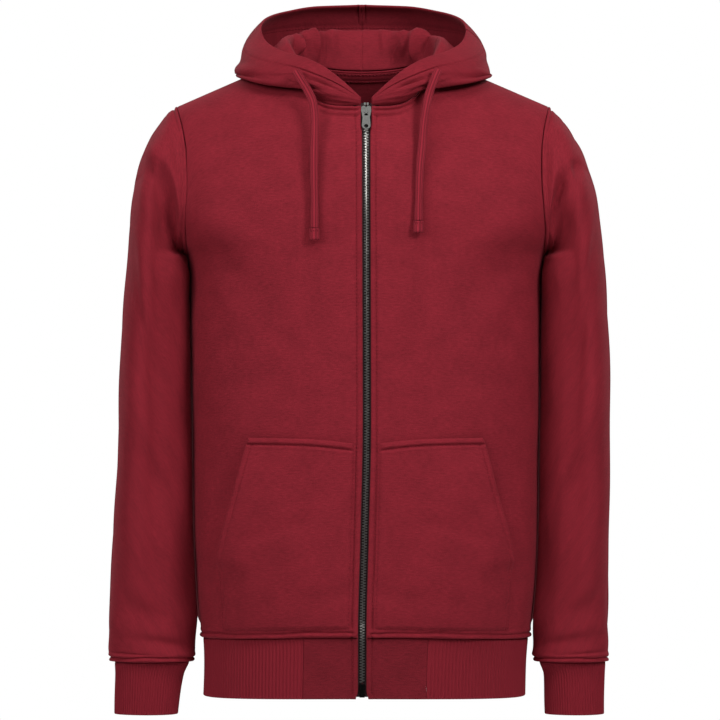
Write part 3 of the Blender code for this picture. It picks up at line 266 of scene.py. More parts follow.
# Folds of a sleeve, by its rings from the shoulder and the angle round it from the outside.
SLEEVE_FOLDS = np.array([
    # side, ring, angle, to_ring, to_angle, ring_width, angle_width, depth, lean
    (-1, 3.3, 30, 0.7, 108, 0.30, 7, 5, -2.4),
    (-1, 4.3, 34, 1.7, 122, 0.62, 13, -10, 1.8),
    (-1, 5.6, 92, 1.6, 128, 0.9, 16, -5, 1),
    (-1, 11.4, 100, 4.6, 112, 1.3, 20, -3.9, 1),
    (-1, 6.6, 30, 8.4, 70, 0.6, 14, -3.6, 1.6),
    (-1, 7.9, 58, 9, 128, 0.32, 14, -6, 2.2),
    (-1, 9, 44, 9.9, 100, 0.4, 16, 2.4, 1),
    (-1, 10, 60, 10.8, 134, 0.28, 12, -5.1, 2),
    (-1, 11.5, 20, 12.2, 84, 0.3, 14, -3, 1.8),
    (-1, 12.5, 40, 13, 112, 0.22, 13, -3.9, 2),
    (-1, 13.6, 70, 14, 140, 0.18, 12, -3.6, 1.8),
    (-1, 14.5, 20, 14.8, 90, 0.16, 14, -2.1, 1),
    (1, 4, 30, 3, 58, 0.26, 5, -6, 2.6),
    (1, 2.8, 70, 1, 122, 0.26, 6, -8.5, 1.6),
    (1, 2.2, 66, 0.7, 112, 0.30, 7, 3.6, -2),
    (1, 3.2, 14, 0.6, 82, 0.55, 12, 2.2, 1),
    (1, 5.4, 92, 1.6, 126, 0.9, 16, -4.6, 1),
    (1, 10.2, 98, 4.6, 112, 1.3, 20, -3.6, 1),
    (1, 6.2, 34, 7.6, 76, 0.5, 12, -3.6, 1.6),
    (1, 7.7, 58, 8.7, 132, 0.32, 14, -6.6, 2.2),
    (1, 9, 50, 9.8, 106, 0.4, 15, 2.4, 1),
    (1, 10, 56, 10.9, 136, 0.30, 12, -5.4, 2),
    (1, 12.4, 30, 12.9, 100, 0.22, 13, -4.2, 2),
    (1, 13.5, 60, 13.9, 130, 0.18, 12, -3.6, 1.8),
    (1, 14.4, 30, 14.7, 100, 0.16, 14, -2.1, 1),
    (-1, 2.6, 246, 0.9, 308, 0.32, 8, -6.5, 2.6),
    (-1, 3, 225, 5.6, 286, 0.5, 12, -4.4, 2),
    (-1, 8.4, 215, 9.3, 290, 0.35, 14, -5.7, 2),
    (-1, 10.6, 230, 11.2, 300, 0.3, 14, -4.5, 2),
    (-1, 12.8, 215, 13.2, 280, 0.22, 13, -3.6, 2),
    (1, 2.6, 250, 0.9, 310, 0.32, 8, -6.5, 2.6),
    (1, 3.2, 228, 5.8, 288, 0.5, 12, -4.4, 2),
    (1, 8.4, 222, 9.6, 286, 0.35, 14, -5.7, 2),
    (1, 11, 235, 11.6, 300, 0.3, 14, -4.5, 2),
    (1, 13, 218, 13.4, 284, 0.22, 13, -3.6, 2),
    (-1, 0.6, 140, 2.6, 165, 0.7, 26, 6, 1),
    (1, 0.6, 140, 2.6, 165, 0.7, 26, 6, 1),
])
# Folds of the hood, by the angle from the zip and the place along its section: 1 is the
# crest inside, 3 the foot of the bag, 4 its bulge, 5 the casing's seam and 6 the rim.
HOOD_FOLDS = np.array([
    # side, angle, place, to_angle, to_place, angle_width, place_width, depth, lean
    (-1, 119, 0.85, 114, 0.3, 3, 0.2, -12, 1),
    (-1, 130, 0.95, 128, 0.3, 3, 0.25, 4.1, 1),
    (-1, 142, 1.1, 138, 0.3, 1.7, 0.25, -7.2, 2),
    (-1, 148, 0.9, 146, 0.35, 1.5, 0.2, -3.1, 1.6),
    (-1, 158, 1.2, 152, 0.5, 2.4, 0.25, -3.1, -2),
    (-1, 136, 1.2, 128, 2.6, 3, 0.5, -7.2, 2),
    (1, 133, 0.95, 146, 0.45, 2, 0.12, -7.8, 1.8),
    (1, 139, 0.8, 152, 0.35, 2, 0.11, -6.6, 1.8),
    (1, 142, 1.1, 156, 0.75, 1.8, 0.11, -3.6, 1.8),
    (1, 127, 0.95, 134, 0.2, 2.2, 0.2, -10.8, -2),
    (1, 121, 1.1, 126, 0.3, 2.6, 0.22, 4.8, 1),
    (1, 166, 1.1, 160, 0.5, 2.2, 0.2, -2.6, 1.6),
    (1, 137, 1.3, 128, 2.5, 2.6, 0.5, -6.5, -2),
    (-1, 64, 4.3, 100, 3.7, 6, 0.15, -5.5, 2.4),
    (-1, 80, 4.75, 126, 4.2, 7, 0.17, -3.4, -2),
    (-1, 98, 4.1, 134, 3.6, 7, 0.14, -3.4, 2),
    (1, 58, 4.4, 92, 3.75, 6, 0.15, -5.5, 2.4),
    (1, 84, 4.3, 112, 3.6, 5, 0.13, -4.7, -2.4),
    (1, 78, 4.8, 124, 4.2, 7, 0.17, -3.1, 2),
    (-1, 22, 3.9, 40, 4.5, 3.4, 0.16, -4.4, -2.2),
    (-1, 34, 3.2, 46, 3.9, 3, 0.20, -4.4, 2.2),
    (1, 22, 3.9, 42, 4.5, 3.4, 0.16, -4.4, -2.2),
    (1, 34, 3.2, 48, 3.9, 3, 0.20, -4.4, 2.2),
    (-1, 125, 3.3, 150, 4.3, 6, 0.25, -4.7, 2),
    (1, 128, 3.3, 154, 4.3, 6, 0.25, -4.7, 2),
    (-1, 168, 3.2, 150, 4.8, 5, 0.3, -3.9, 1.8),
    (1, 170, 3.2, 152, 4.8, 5, 0.3, -3.6, 1.8),
])


# ---- curves ----
def pchip(x, xs, ys):
    """Cubic through table rows whose slopes are harmonic means, so it never overshoots."""
    order = np.argsort(xs)
    xs, ys = np.asarray(xs, float)[order], np.asarray(ys, float)[order]
    x = np.clip(np.asarray(x, float), xs[0], xs[-1])
    step = np.diff(xs)
    slope = np.diff(ys) / step
    tangent = np.zeros_like(ys)
    same = slope[1:] * slope[:-1] > 0
    mean = 2 * slope[1:] * slope[:-1] / np.where(same, slope[1:] + slope[:-1], 1)
    tangent[1:-1] = np.where(same, mean, 0)
    tangent[0], tangent[-1] = slope[0], slope[-1]
    i = np.clip(np.searchsorted(xs, x, side="right") - 1, 0, len(step) - 1)
    t = (x - xs[i]) / step[i]
    return (ys[i] * (1 + 2 * t) * (1 - t) ** 2 + ys[i + 1] * t * t * (3 - 2 * t)
            + step[i] * (tangent[i] * t * (1 - t) ** 2 - tangent[i + 1] * t * t * (1 - t)))


def catmull(t, points):
    """Catmull-Rom curve through points[k], read at t = 0 .. k."""
    points = np.asarray(points, float)
    last = len(points) - 1
    t = np.clip(np.asarray(t, float), 0, last)
    i = np.minimum(t.astype(int), last - 1)
    f = (t - i).reshape(t.shape + (1,) * (points.ndim - 1))
    a, b = points[i], points[i + 1]
    before, after = points[np.maximum(i - 1, 0)], points[np.minimum(i + 2, last)]
    leave, arrive = (b - before) / 2, (after - a) / 2
    return (a * (1 + 2 * f) * (1 - f) ** 2 + b * f * f * (3 - 2 * f)
            + leave * f * (1 - f) ** 2 - arrive * f * f * (1 - f))


def smoothstep(t):
    t = np.clip(t, 0, 1)
    return t * t * (3 - 2 * t)


def bell(x, middle, width, power=2):
    return np.exp(-((x - middle) / width) ** power)


def unit(v):
    return v / np.maximum(np.linalg.norm(v, axis=-1, keepdims=True), 1e-12)


def places(count, length, first=True, last=True):
    """Shares of a length in millimetres: even, with close rows at the rounded edges."""
    near = np.array([0.0, 0.2, 0.5, 0.9, 1.5, 2.1, 2.8, 3.5, 4.2, 4.9, 5.6, 6.3, 7.1, 8.0, 9.0,
                     10.2, 11.6, 13.3])
    near = near[near < length / 3]
    start = near if first else np.array([0.0])
    end = length - (near if last else np.array([0.0]))[::-1]
    middle = np.linspace(start[-1], end[0], count)[1:-1]
    return np.concatenate([start, middle, end]) / length


# ---- the body's surface ----
def table(rows, column, z):
    return pchip(z, rows[:, 0], rows[:, column])


def centre(z):
    return table(BODY, 1, z)


def ridge(d):
    """Shoulder line: a slope outside the neck point, a low arch inside it."""
    inside = NECK_RIDGE + NECK_RISE * (1 - (d / NECK_POINT) ** 2)
    return np.where(d < NECK_POINT, inside, NECK_RIDGE - SHOULDER_SLOPE * (d - NECK_POINT))


def hem_height(share, face, level):
    """Hem line, lifted a little at the middle front; level runs from the seam to the edge."""
    middle = np.where(np.asarray(face) < 0, 1 - np.clip(share, 0, 1) ** 2, 0.0)
    seam = HEM_SEAM + HEM_SEAM_FRONT_LIFT * middle
    return seam + (HEM_END + HEM_END_FRONT_LIFT * middle - seam) * level


def body_y(d, z, face):
    """Superellipse |x/half|^n + |y/depth|^n = 1, rounded over a quarter circle at the top."""
    half = table(BODY, 2, z)
    depth = table(BODY, 3 if face < 0 else 4, z)
    across = np.clip(1 - (np.abs(d) / half) ** ROUNDNESS, 0, 1) ** (1 / ROUNDNESS)
    rise = np.clip((ridge(np.abs(d)) - z) / SHOULDER_ROUND, 0, 1)
    return face * depth * across * np.sqrt(np.clip(1 - (1 - rise) ** 2, 0, 1))


def body_point(side, d, z, face):
    d, z = np.broadcast_arrays(np.asarray(d, float), np.asarray(z, float))
    return np.stack([centre(z) + side * d, body_y(d, z, face), z], -1)


def body_normal(side, d, z, face, step=0.05):
    """Outward normal as the cross product of small steps across and up."""
    across = body_point(side, d + step, z, face) - body_point(side, d - step, z, face)
    up = body_point(side, d, z + step, face) - body_point(side, d, z - step, face)
    normal = unit(np.cross(across, up))
    return normal * np.sign(normal[..., 1:2] * face)


def fold_sum(x, z, rows):
    """Folds by their rows (x, z, to_x, to_z, x_width, z_width, depth, lean): Gaussian troughs
    across a line, strongest at its middle. A lean spreads the side on the right of the way
    along the line, or on the left when it is below zero."""
    height = 0.0
    for x0, z0, x1, z1, x_width, z_width, depth, lean in rows:
        a = np.array([x0 / x_width, z0 / z_width])
        along = np.array([x1 / x_width, z1 / z_width]) - a
        px, pz = x / x_width - a[0], z / z_width - a[1]
        share = np.clip((px * along[0] + pz * along[1]) / (along @ along), 0, 1)
        away = np.hypot(px - share * along[0], pz - share * along[1])
        turn = (px * along[1] - pz * along[0]) * np.sign(lean)
        away = away / np.where(turn > 0, abs(lean), 1.0)
        height = height + depth * np.sin(math.pi * (0.12 + 0.76 * share)) * np.exp(-away ** 2)
    return height


def ripple(x, z, y):
    """Height of the folds at a point over a slow waver of crossed sines. It dies away at
    the side seams and at the shoulders."""
    height = (0.7 * np.sin(x / 31 + z / 53 + 1.0) * np.sin(z / 47 - x / 90)
              + 0.45 * np.sin(x / 17 - z / 29 + 2.2) * np.sin(z / 23 + 0.4))
    for face in (-1, 1):
        rows = [(*row[1:6], row[5], row[6], 1.6) for row in FOLDS if row[0] == face]
        height = height + (face * y >= 0) * fold_sum(x, z, rows)
    return height * smoothstep(np.abs(y) / SIDE_FADE) * smoothstep((-z - 5) / TOP_FADE)


def skin(side, d, z, face, lift=0.0):
    """Outer face of the body with its folds, moved out by lift, and its normal."""
    base = body_point(side, d, z, face)
    normal = body_normal(side, d, z, face)
    height = ripple(base[..., 0], base[..., 2], base[..., 1])
    return base + normal * (height + lift)[..., None], normal


def edge_distance(z):
    return np.where(z > UNDERARM, table(ARMHOLE, 1, z), table(BODY, 2, z))


def zip_distance(side, z):
    """Distance of a front's folded edge from the body's centre: wider beside the slider."""
    edge = ZIP_EDGE + (ZIP_EDGE_TOP - ZIP_EDGE) * smoothstep((np.asarray(z) + 80) / 12)
    return side * (table(ZIP_LINE, 1, z) - centre(z)) + edge


def neck_height(d, face):
    low, power = (FRONT_NECK, FRONT_NECK_POWER) if face < 0 else (BACK_NECK, BACK_NECK_POWER)
    return low + (NECK_RIDGE - low) * (np.abs(d) / NECK_POINT) ** power


def top_height(d, face):
    return np.where(d < NECK_POINT, neck_height(np.minimum(d, NECK_POINT), face), ridge(d))


def spread(u):
    return np.sin(np.clip(u, 0, 1) * math.pi / 2) ** (2 / ROUNDNESS)


def spread_inverse(q):
    return 2 / math.pi * np.arcsin(q ** (ROUNDNESS / 2))


def panel_surface(side, face, u, v):
    """Panel of the body: u from the zip or middle to the side seam, v from the hem seam to
    the neckline and shoulder, with the sewn roll above the hem."""
    inner_top = zip_distance(side, FRONT_NECK) if face < 0 else 0.0
    top_d = inner_top + (SHOULDER_TIP - inner_top) * spread(u)
    top = top_height(top_d, face)
    low = hem_height(top_d / SHOULDER_TIP, face, 0.0)
    z = low + (top - low) * v
    inner = zip_distance(side, z) if face < 0 else 0.0
    d = inner + (edge_distance(z) - inner) * spread(u)
    point = body_point(side, d, z, face)
    roll = HEM_ROLL * bell(z - low, HEM_ROLL_HEIGHT, HEM_ROLL_REACH)
    flat = unit(np.stack([side * d / 3, point[..., 1], 0 * z], -1))
    point = point + flat * roll[..., None]
    return point


def neck_share(side, face):
    """Share round a panel's top edge where the neckline meets the shoulder."""
    inner = zip_distance(side, FRONT_NECK) if face < 0 else 0.0
    return spread_inverse((NECK_POINT - inner) / (SHOULDER_TIP - inner))


def panel_places(side, face, us):
    """Shares round the body for the columns: even below, even along the neckline on top."""
    neck = neck_share(side, face)
    fine = np.linspace(0, neck, 801)
    line = panel_surface(side, face, fine, np.ones(fine.shape))
    length = run_along(line)
    return np.where(us < neck, np.interp(us / neck * length[-1], length, fine), us)


# ---- making pieces ----
def run_along(line):
    """Distance along a line of points, from its first."""
    return np.concatenate([[0], np.cumsum(np.linalg.norm(np.diff(line, axis=0), axis=1))])


def grid_normals(grid, wrap=False):
    """Unit normals of a grid from central differences along its columns and rows."""
    if wrap:
        across = np.roll(grid, -1, 0) - np.roll(grid, 1, 0)
    else:
        across = np.gradient(grid, axis=0)
    return unit(np.cross(across, np.gradient(grid, axis=1)))


def lengths(grid, axis):
    """Distance along the grid lines of one axis, from the first of them."""
    step = np.linalg.norm(np.diff(grid, axis=axis), axis=-1)
    return np.concatenate([np.zeros_like(np.take(step, [0], axis)), np.cumsum(step, axis)], axis)


def rounded(outer, normal, thick, rounds, wrap=False):
    """Outer and inner faces of a wall that meet in a half round at each named edge.

    rounds gives the radius at the first and last columns and rows; at a distance d from an
    edge both faces draw towards the middle by thick/2 * (1 - sqrt(1 - (1 - d/radius)^2)).
    """
    along, up = lengths(outer, 0), lengths(outer, 1)
    distances = [along, along[-1] - along, up, up[:, -1:] - up]
    draw = np.zeros(outer.shape[:2])
    for distance, radius in zip(distances, rounds):
        if radius and not (wrap and distance is along):
            near = np.clip(1 - distance / radius, 0, 0.995)
            draw = np.maximum(draw, 1 - np.sqrt(1 - near ** 2))
    draw = (draw * thick / 2)[..., None] * normal
    return outer - draw, outer - normal * np.asarray(thick)[..., None] + draw


def link(name, points, faces, material, uv=None):
    """A mesh object from points in millimetres and arrays of faces with face-corner UVs, one
    array for each number of corners. Points that no face uses are left out."""
    used, corners = np.unique(np.concatenate([f.ravel() for f in faces]), return_inverse=True)
    sizes = np.concatenate([np.full(len(f), f.shape[1]) for f in faces])
    mesh = bpy.data.meshes.new(name)
    mesh.vertices.add(len(used))
    mesh.vertices.foreach_set("co", (np.asarray(points)[used] * MM).astype(np.float32).ravel())
    mesh.loops.add(len(corners))
    mesh.loops.foreach_set("vertex_index", corners.astype(np.int32).ravel())
    mesh.polygons.add(len(sizes))
    mesh.polygons.foreach_set("loop_start", (np.cumsum(sizes) - sizes).astype(np.int32))
    mesh.update(calc_edges=True)
    if uv is not None:
        flat = np.concatenate([np.asarray(part, np.float32).ravel() for part in uv])
        mesh.uv_layers.new(name="cloth").data.foreach_set("uv", flat)
    mesh.validate()
    mesh.materials.append(material)
    mesh.shade_smooth()
    made = place_object(name, mesh)
    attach(made, BODY_NAME)
    return made


def kept(count, step, wrap=False):
    """Lines of a face that its thinned side keeps: all near the ends, then each step-th."""
    if wrap:
        return np.append(np.arange(0, count, step), count)
    every = np.arange(count)
    ends = (every < RIM_LINES) | (every >= count - RIM_LINES)
    return every[ends | (every % step == 0)]


def rim(outer, inner, stops):
    """Triangles from all of an outer edge to the stops that are kept of the inner edge."""
    every = np.arange(len(outer) - 1)
    part = np.searchsorted(stops, every, "right") - 1
    middle = (stops[:-1] + stops[1:]) // 2
    apex = np.where(every < middle[part], stops[part], stops[part + 1])
    fans = np.stack([outer[every], outer[every + 1], inner[apex]], -1)
    return np.concatenate([fans, np.stack([outer[middle], inner[stops[1:]],
                                           inner[stops[:-1]]], -1)])


def wall(name, outer, inner, material, wrap=False, thin=(3, 3)):
    """A closed wall from two grids: quads over both faces, the inner one thinned by the given
    steps away from its edges, and triangles round the open edges."""
    columns, rows = outer.shape[:2]
    count = columns * rows
    index = np.arange(count).reshape(columns, rows)
    if wrap:
        index = np.concatenate([index, index[:1]])
    behind = index + count
    across, up = kept(columns, thin[0], wrap), kept(rows, thin[1])

    def grid_faces(grid):
        return np.stack([grid[:-1, :-1], grid[1:, :-1], grid[1:, 1:], grid[:-1, 1:]],
                        -1).reshape(-1, 4)

    face = grid_faces(index)
    back_face = grid_faces(behind[across][:, up])
    quads = np.concatenate([face, back_face[:, ::-1]])
    rims = [rim(index[:, 0], behind[:, 0], across)[:, ::-1],
            rim(index[:, -1], behind[:, -1], across)]
    if not wrap:
        rims += [rim(index[0], behind[0], up), rim(index[-1], behind[-1], up)[:, ::-1]]
    triangles = np.concatenate(rims)
    points = np.concatenate([outer.reshape(-1, 3), inner.reshape(-1, 3)])
    sample = points[face]
    facing = np.cross(sample[:, 2] - sample[:, 0], sample[:, 3] - sample[:, 1])
    if ((points[face[:, 0]] - points[face[:, 0] + count]) * facing).sum() < 0:
        quads, triangles = quads[:, ::-1], triangles[:, ::-1]
    uv = np.stack([lengths(outer, 0), lengths(outer, 1)], -1)
    corner_uv = []
    for faces in (quads, triangles):
        flat = uv.reshape(-1, 2)[faces % count]
        if wrap:
            jump = flat[..., 0].max(1) - flat[..., 0].min(1) > uv[..., 0].max() / 2
            whole = uv[-1, :, 0].max() + np.linalg.norm(outer[0, 0] - outer[-1, 0])
            low = flat[..., 0] < whole / 2
            flat[..., 0] = np.where(jump[:, None] & low, flat[..., 0] + whole, flat[..., 0])
        corner_uv.append(flat)
    return link(name, points, [quads, triangles], material, corner_uv)


def tube(name, line, across, out, section, material):
    """A section of (across, out) offsets carried along a line, with capped ends."""
    rings = (line[:, None] + across[:, None] * section[..., 0, None]
             + out[:, None] * section[..., 1, None])
    count, around = rings.shape[:2]
    index = np.arange(count * around).reshape(count, around)
    side = np.roll(index, -1, 1)
    quads = np.stack([index[:-1], side[:-1], side[1:], index[1:]], -1).reshape(-1, 4)
    start_cap = np.stack([side[0], index[0], np.full(around, count * around)], -1)
    end_cap = np.stack([index[-1], side[-1], np.full(around, count * around + 1)], -1)
    caps = np.concatenate([start_cap, end_cap])
    points = np.concatenate([rings.reshape(-1, 3), [rings[0].mean(0), rings[-1].mean(0)]])
    perimeter = np.linspace(0, 1, around, endpoint=False) * 2 * (CORD_WIDTH + CORD_THICK)
    flat = np.stack(np.broadcast_arrays(perimeter[None], run_along(line)[:, None]), -1)
    flat = np.concatenate([flat.reshape(-1, 2), [[0.0, 0.0], [0.0, run_along(line)[-1]]]])
    a, b, c, d = (points[quads[:, k]] for k in range(4))
    if (a * np.cross(b, c)).sum() + (a * np.cross(c, d)).sum() < 0:
        quads, caps = (np.roll(f[:, ::-1], 1, 1) for f in (quads, caps))
    return link(name, points, [quads, caps], material, [flat[quads], flat[caps]])


STITCH_SIDES = 6


def sew(name, lines, material, length=2.9, gap=1.1, radius=0.42, sink=0.12):
    """Rows of stitches: short threads along each line, each a hexagonal spindle whose
    radius follows 1 - s^4 and whose ends dip into the cloth.

    lines is a list of (points, normals) along the cloth.
    """
    share = np.array([-1.0, -0.7, 0.0, 0.7, 1.0])
    turn = np.arange(STITCH_SIDES) / STITCH_SIDES * 2 * math.pi
    parts = []
    for points, normals in lines:
        run = run_along(points)
        count = max(int(run[-1] / (length + gap)), 1)
        middle = (np.arange(count) + 0.5) * run[-1] / count
        at = middle[:, None] + share * length / 2
        here = np.stack([np.interp(at, run, points[:, k]) for k in range(3)], -1)
        up = unit(np.stack([np.interp(middle, run, normals[:, k]) for k in range(3)], -1))
        along = unit(here[:, -1] - here[:, 0])
        cross = np.cross(along, up)
        size = radius * (0.25 + 0.75 * (1 - np.abs(share) ** 4))
        dip = radius * 0.6 - sink - (radius + 0.3) * share ** 4
        ring = (here[:, :, None] + up[:, None, None] * dip[None, :, None, None]
                + (cross[:, None] * np.cos(turn)[:, None] + up[:, None] * np.sin(turn)[:, None])
                [:, None] * size[None, :, None, None])
        parts.append(ring.reshape(count, -1, 3))
    threads = np.concatenate(parts)
    rings = np.arange(len(share) * STITCH_SIDES).reshape(len(share), STITCH_SIDES)
    side = np.roll(rings, -1, 1)
    quads = np.stack([rings[:-1], side[:-1], side[1:], rings[1:]], -1).reshape(-1, 4)
    caps = np.array([[0, 5, 4, 3], [0, 3, 2, 1], [0, 1, 2, 3], [0, 3, 4, 5]])
    caps[2:] += (len(share) - 1) * STITCH_SIDES
    quads = np.concatenate([quads, caps])
    start = np.arange(len(threads))[:, None, None] * len(share) * STITCH_SIDES
    return link(name, threads.reshape(-1, 3), [(quads[None] + start).reshape(-1, 4)[:, ::-1]],
                material)


def stand_for(piece, slot, node=None, **sheet):
    """Hide the solid that the piece replaces, when a node is given; piece, slot and sheet are not
    used.
    """
    if node:
        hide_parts(node)


# ---- materials ----
class Surface:
    """A material: one Principled shader with procedural textures on the cloth's own lengths."""

    def __init__(self, name, colour, roughness, metallic=0.0, **more):
        self.colour = colour
        self.material = bpy.data.materials.new(name)
        self.material.use_nodes = True
        self.nodes = self.material.node_tree.nodes
        self.links = self.material.node_tree.links
        self.base = self.nodes["Principled BSDF"]
        self.fill(self.base, {"Base Color": (*colour, 1.0), "Roughness": roughness,
                              "Metallic": metallic, **more})

    def fill(self, node, values):
        """Set or link a node's inputs."""
        for name, value in values.items():
            if isinstance(value, bpy.types.NodeSocket):
                self.links.new(value, node.inputs[name])
            else:
                node.inputs[name].default_value = value
        return node

    def add(self, kind, values):
        return self.fill(self.nodes.new("ShaderNode" + kind), values)

    def mapped(self, scale, uv=True):
        """The piece's own cloth coordinates, or its object coordinates, scaled per axis."""
        if uv:
            source = self.nodes.new("ShaderNodeUVMap")
            source.uv_map = "cloth"
            socket = source.outputs["UV"]
        else:
            socket = self.nodes.new("ShaderNodeTexCoord").outputs["Object"]
        return self.add("Mapping", {"Vector": socket, "Scale": scale}).outputs["Vector"]

    def noise(self, scale, detail=2.0, roughness=0.5, uv=True):
        return self.add("TexNoise", {"Scale": 1.0, "Detail": detail, "Roughness": roughness,
                                     "Vector": self.mapped(scale, uv)}).outputs["Fac"]

    def bands(self, scale, distortion, direction):
        made = self.add("TexWave", {"Scale": 1.0, "Distortion": distortion, "Detail": 2.0,
                                    "Vector": self.mapped(scale)})
        made.wave_type = "BANDS"
        made.bands_direction = direction
        return made.outputs["Fac"]

    def math(self, operation, first, second):
        made = self.nodes.new("ShaderNodeMath")
        made.operation = operation
        return self.fill(made, {0: first, 1: second}).outputs["Value"]

    def blend(self, *weighted):
        """Weighted sum of sockets, given as (socket, weight)."""
        total = None
        for socket, weight in weighted:
            part = socket if weight == 1 else self.math("MULTIPLY", socket, weight)
            total = part if total is None else self.math("ADD", total, part)
        return total

    def shades(self, factor, spread_share):
        """Colour from a darker to a lighter shade by a factor around the middle."""
        ramp = self.add("ValToRGB", {"Fac": factor})
        for element, place, share in zip(ramp.color_ramp.elements, RAMP,
                                         (1 - spread_share, 1 + spread_share)):
            element.position = place
            element.color = (*(c * share for c in self.colour), 1.0)
        self.fill(self.base, {"Base Color": ramp.outputs["Color"]})

    def relief(self, height, distance, strength):
        bump = self.add("Bump", {"Distance": distance * MM, "Strength": strength,
                                 "Height": height})
        self.fill(self.base, {"Normal": bump.outputs["Normal"]})


RAMP = (0.3, 0.7)
SOFT = {"Sheen Tint": (0.75, 0.16, 0.2, 1.0), "Specular IOR Level": 0.12}


def make_fleece(name, colour, spread_share=0.42):
    """Sweatshirt knit: short level streaks of stitches, a fine fuzz and a slow unevenness."""
    made = Surface(name, colour, 0.86, **SOFT, **{"Sheen Weight": 0.12, "Sheen Roughness": 0.4})
    streak = made.noise((0.15, 0.6, 1.0), 3.0, 0.7)
    fuzz = made.noise((0.9, 1.2, 1.0), 2.0, 0.6)
    both = made.blend((streak, 0.45), (fuzz, 0.35))
    made.shades(made.blend((both, 1), (made.noise((0.03, 0.04, 1.0)), 0.2)), spread_share)
    made.relief(both, 0.6, 0.9)
    return made.material


def make_rib(name, colour):
    """Ribbed knit: rows of small stitches down each rib."""
    made = Surface(name, colour, 0.88, **SOFT, **{"Sheen Weight": 0.1})
    both = made.blend((made.bands((0.0, 0.36, 0.0), 0.6, "Y"), 0.25),
                      (made.noise((1.2, 1.6, 1.0), 3.0, 0.6), 0.75))
    made.shades(both, 0.16)
    made.relief(both, 0.3, 0.8)
    return made.material


def make_tie(name, colour):
    """Flat knitted tie: fine ribs down its length crossed by small stitches."""
    made = Surface(name, colour, 0.85, **{**SOFT, "Specular IOR Level": 0.15},
                   **{"Sheen Weight": 0.1})
    both = made.blend((made.bands((0.19, 0.0, 0.0), 0.2, "X"), 0.5),
                      (made.bands((0.0, 0.3, 0.0), 0.5, "Y"), 0.2),
                      (made.noise((1.3, 1.3, 1.0)), 0.3))
    made.shades(both, 0.34)
    made.relief(both, 0.9, 1.0)
    return made.material


def make_tape(name, colour):
    """Woven zip tape: a fine herringbone of threads."""
    made = Surface(name, colour, 0.8)
    weave = made.bands((0.9, 0.5, 0.0), 0.4, "DIAGONAL")
    made.shades(weave, 0.3)
    made.relief(weave, 0.15, 0.6)
    return made.material


def make_metal(name, colour, roughness):
    """Dark plated metal, a little brighter and smoother where it is rubbed."""
    made = Surface(name, colour, roughness, 1.0)
    rub = made.noise((420.0, 420.0, 420.0), 3.0, 0.6, uv=False)
    made.shades(rub, 0.25)
    worn = made.add("MapRange", {"Value": rub, "To Min": roughness * 0.8,
                                 "To Max": roughness * 1.3})
    made.fill(made.base, {"Roughness": worn.outputs["Result"]})
    return made.material


FLEECE = make_fleece("fleece", (0.200, 0.0125, 0.0218))
# Darker copy of the fleece for the hood: painted shade for its folds and hollows.
FLEECE_HOOD_PAINTED_SHADE = make_fleece("fleece_hood_painted_shade", (0.184, 0.0113, 0.0199))
FLEECE_INSIDE = make_fleece("fleece_shaded", (0.190, 0.0115, 0.0205))
# Darker copy of the fleece for the hem blocks: painted shade at the bottom of the body.
FLEECE_HEM_PAINTED_SHADE = make_fleece("fleece_hem_band_painted_shade", (0.150, 0.0092, 0.0162))
RIB = make_rib("ribbed_knit", (0.196, 0.0118, 0.0212))
TIE = make_tie("tie_knit", (0.215, 0.013, 0.024))
THREAD = make_fleece("sewing_thread", (0.175, 0.0105, 0.019), 0.1)
TAPE = make_tape("zip_tape_weave", (0.022, 0.004, 0.006))
METAL = make_metal("gunmetal", (0.04, 0.04, 0.038), 0.2)
TEETH = make_metal("gunmetal_teeth", (0.27, 0.262, 0.248), 0.3)


# ---- camera, light and floor ----
def place_object(name, data, place=(0.0, 0.0, 0.0), turn=(0.0, 0.0, 0.0)):
    made = bpy.data.objects.new(name, data)
    made.location, made.rotation_euler = place, turn
    bpy.context.scene.collection.objects.link(made)
    return made


def set_camera():
    data = bpy.data.cameras.new("camera")
    data.lens, data.sensor_width, data.clip_end = 227.0, 36.0, 60.0
    bpy.context.scene.camera = place_object("camera", data, (-0.0022, -5.0, -0.3256),
                                            (math.radians(90), 0, 0))


def lamp(name, place, size, power):
    """An area lamp in metres and watts, turned towards the garment's middle."""
    data = bpy.data.lights.new(name, "AREA")
    data.shape = "RECTANGLE"
    data.size, data.size_y = size
    data.energy = power
    aim = Vector((0.0, 0.0, -0.33)) - Vector(place)
    place_object(name, data, place, aim.to_track_quat("-Z", "Y").to_euler())


def set_light():
    """Soft lamps at both sides, above, in front and behind. The camera sees the world as
    plain white, and it lights the garment only faintly."""
    lamp("left", (-1.9, -1.75, 0.95), (1.0, 1.3), 32.0)
    lamp("right", (1.5, -1.85, 1.25), (0.75, 0.95), 53.5)
    lamp("top", (-0.2, -1.25, 1.9), (1.2, 0.85), 19.5)
    lamp("front", (-1.4, -3.6, 1.0), (1.2, 1.2), 11.5)
    lamp("back_left", (-2.0, 2.4, 1.4), (1.4, 1.4), 34.0)
    lamp("back_right", (2.0, 2.4, 1.4), (1.4, 1.4), 34.0)
    world = bpy.data.worlds.new("world")
    world.use_nodes = True
    nodes, links = world.node_tree.nodes, world.node_tree.links
    path = nodes.new("ShaderNodeLightPath")
    strength = nodes.new("ShaderNodeMapRange")
    strength.inputs["To Min"].default_value = 0.06
    strength.inputs["To Max"].default_value = 1.0
    links.new(path.outputs["Is Camera Ray"], strength.inputs["Value"])
    links.new(strength.outputs["Result"], nodes["Background"].inputs["Strength"])
    nodes["Background"].inputs["Color"].default_value = (1, 1, 1, 1)
    bpy.context.scene.world = world
    bpy.context.scene.view_settings.view_transform = "Standard"


def set_floor():
    size, height = 2.8, -1.6
    mesh = bpy.data.meshes.new("floor")
    mesh.from_pydata([(-size, -size, height), (size, -size, height), (size, size, height),
                      (-size, size, height)], [], [(0, 1, 2, 3)])
    mesh.materials.append(Surface("floor_white", (0.92, 0.92, 0.92), 0.95).material)
    place_object("floor", mesh)


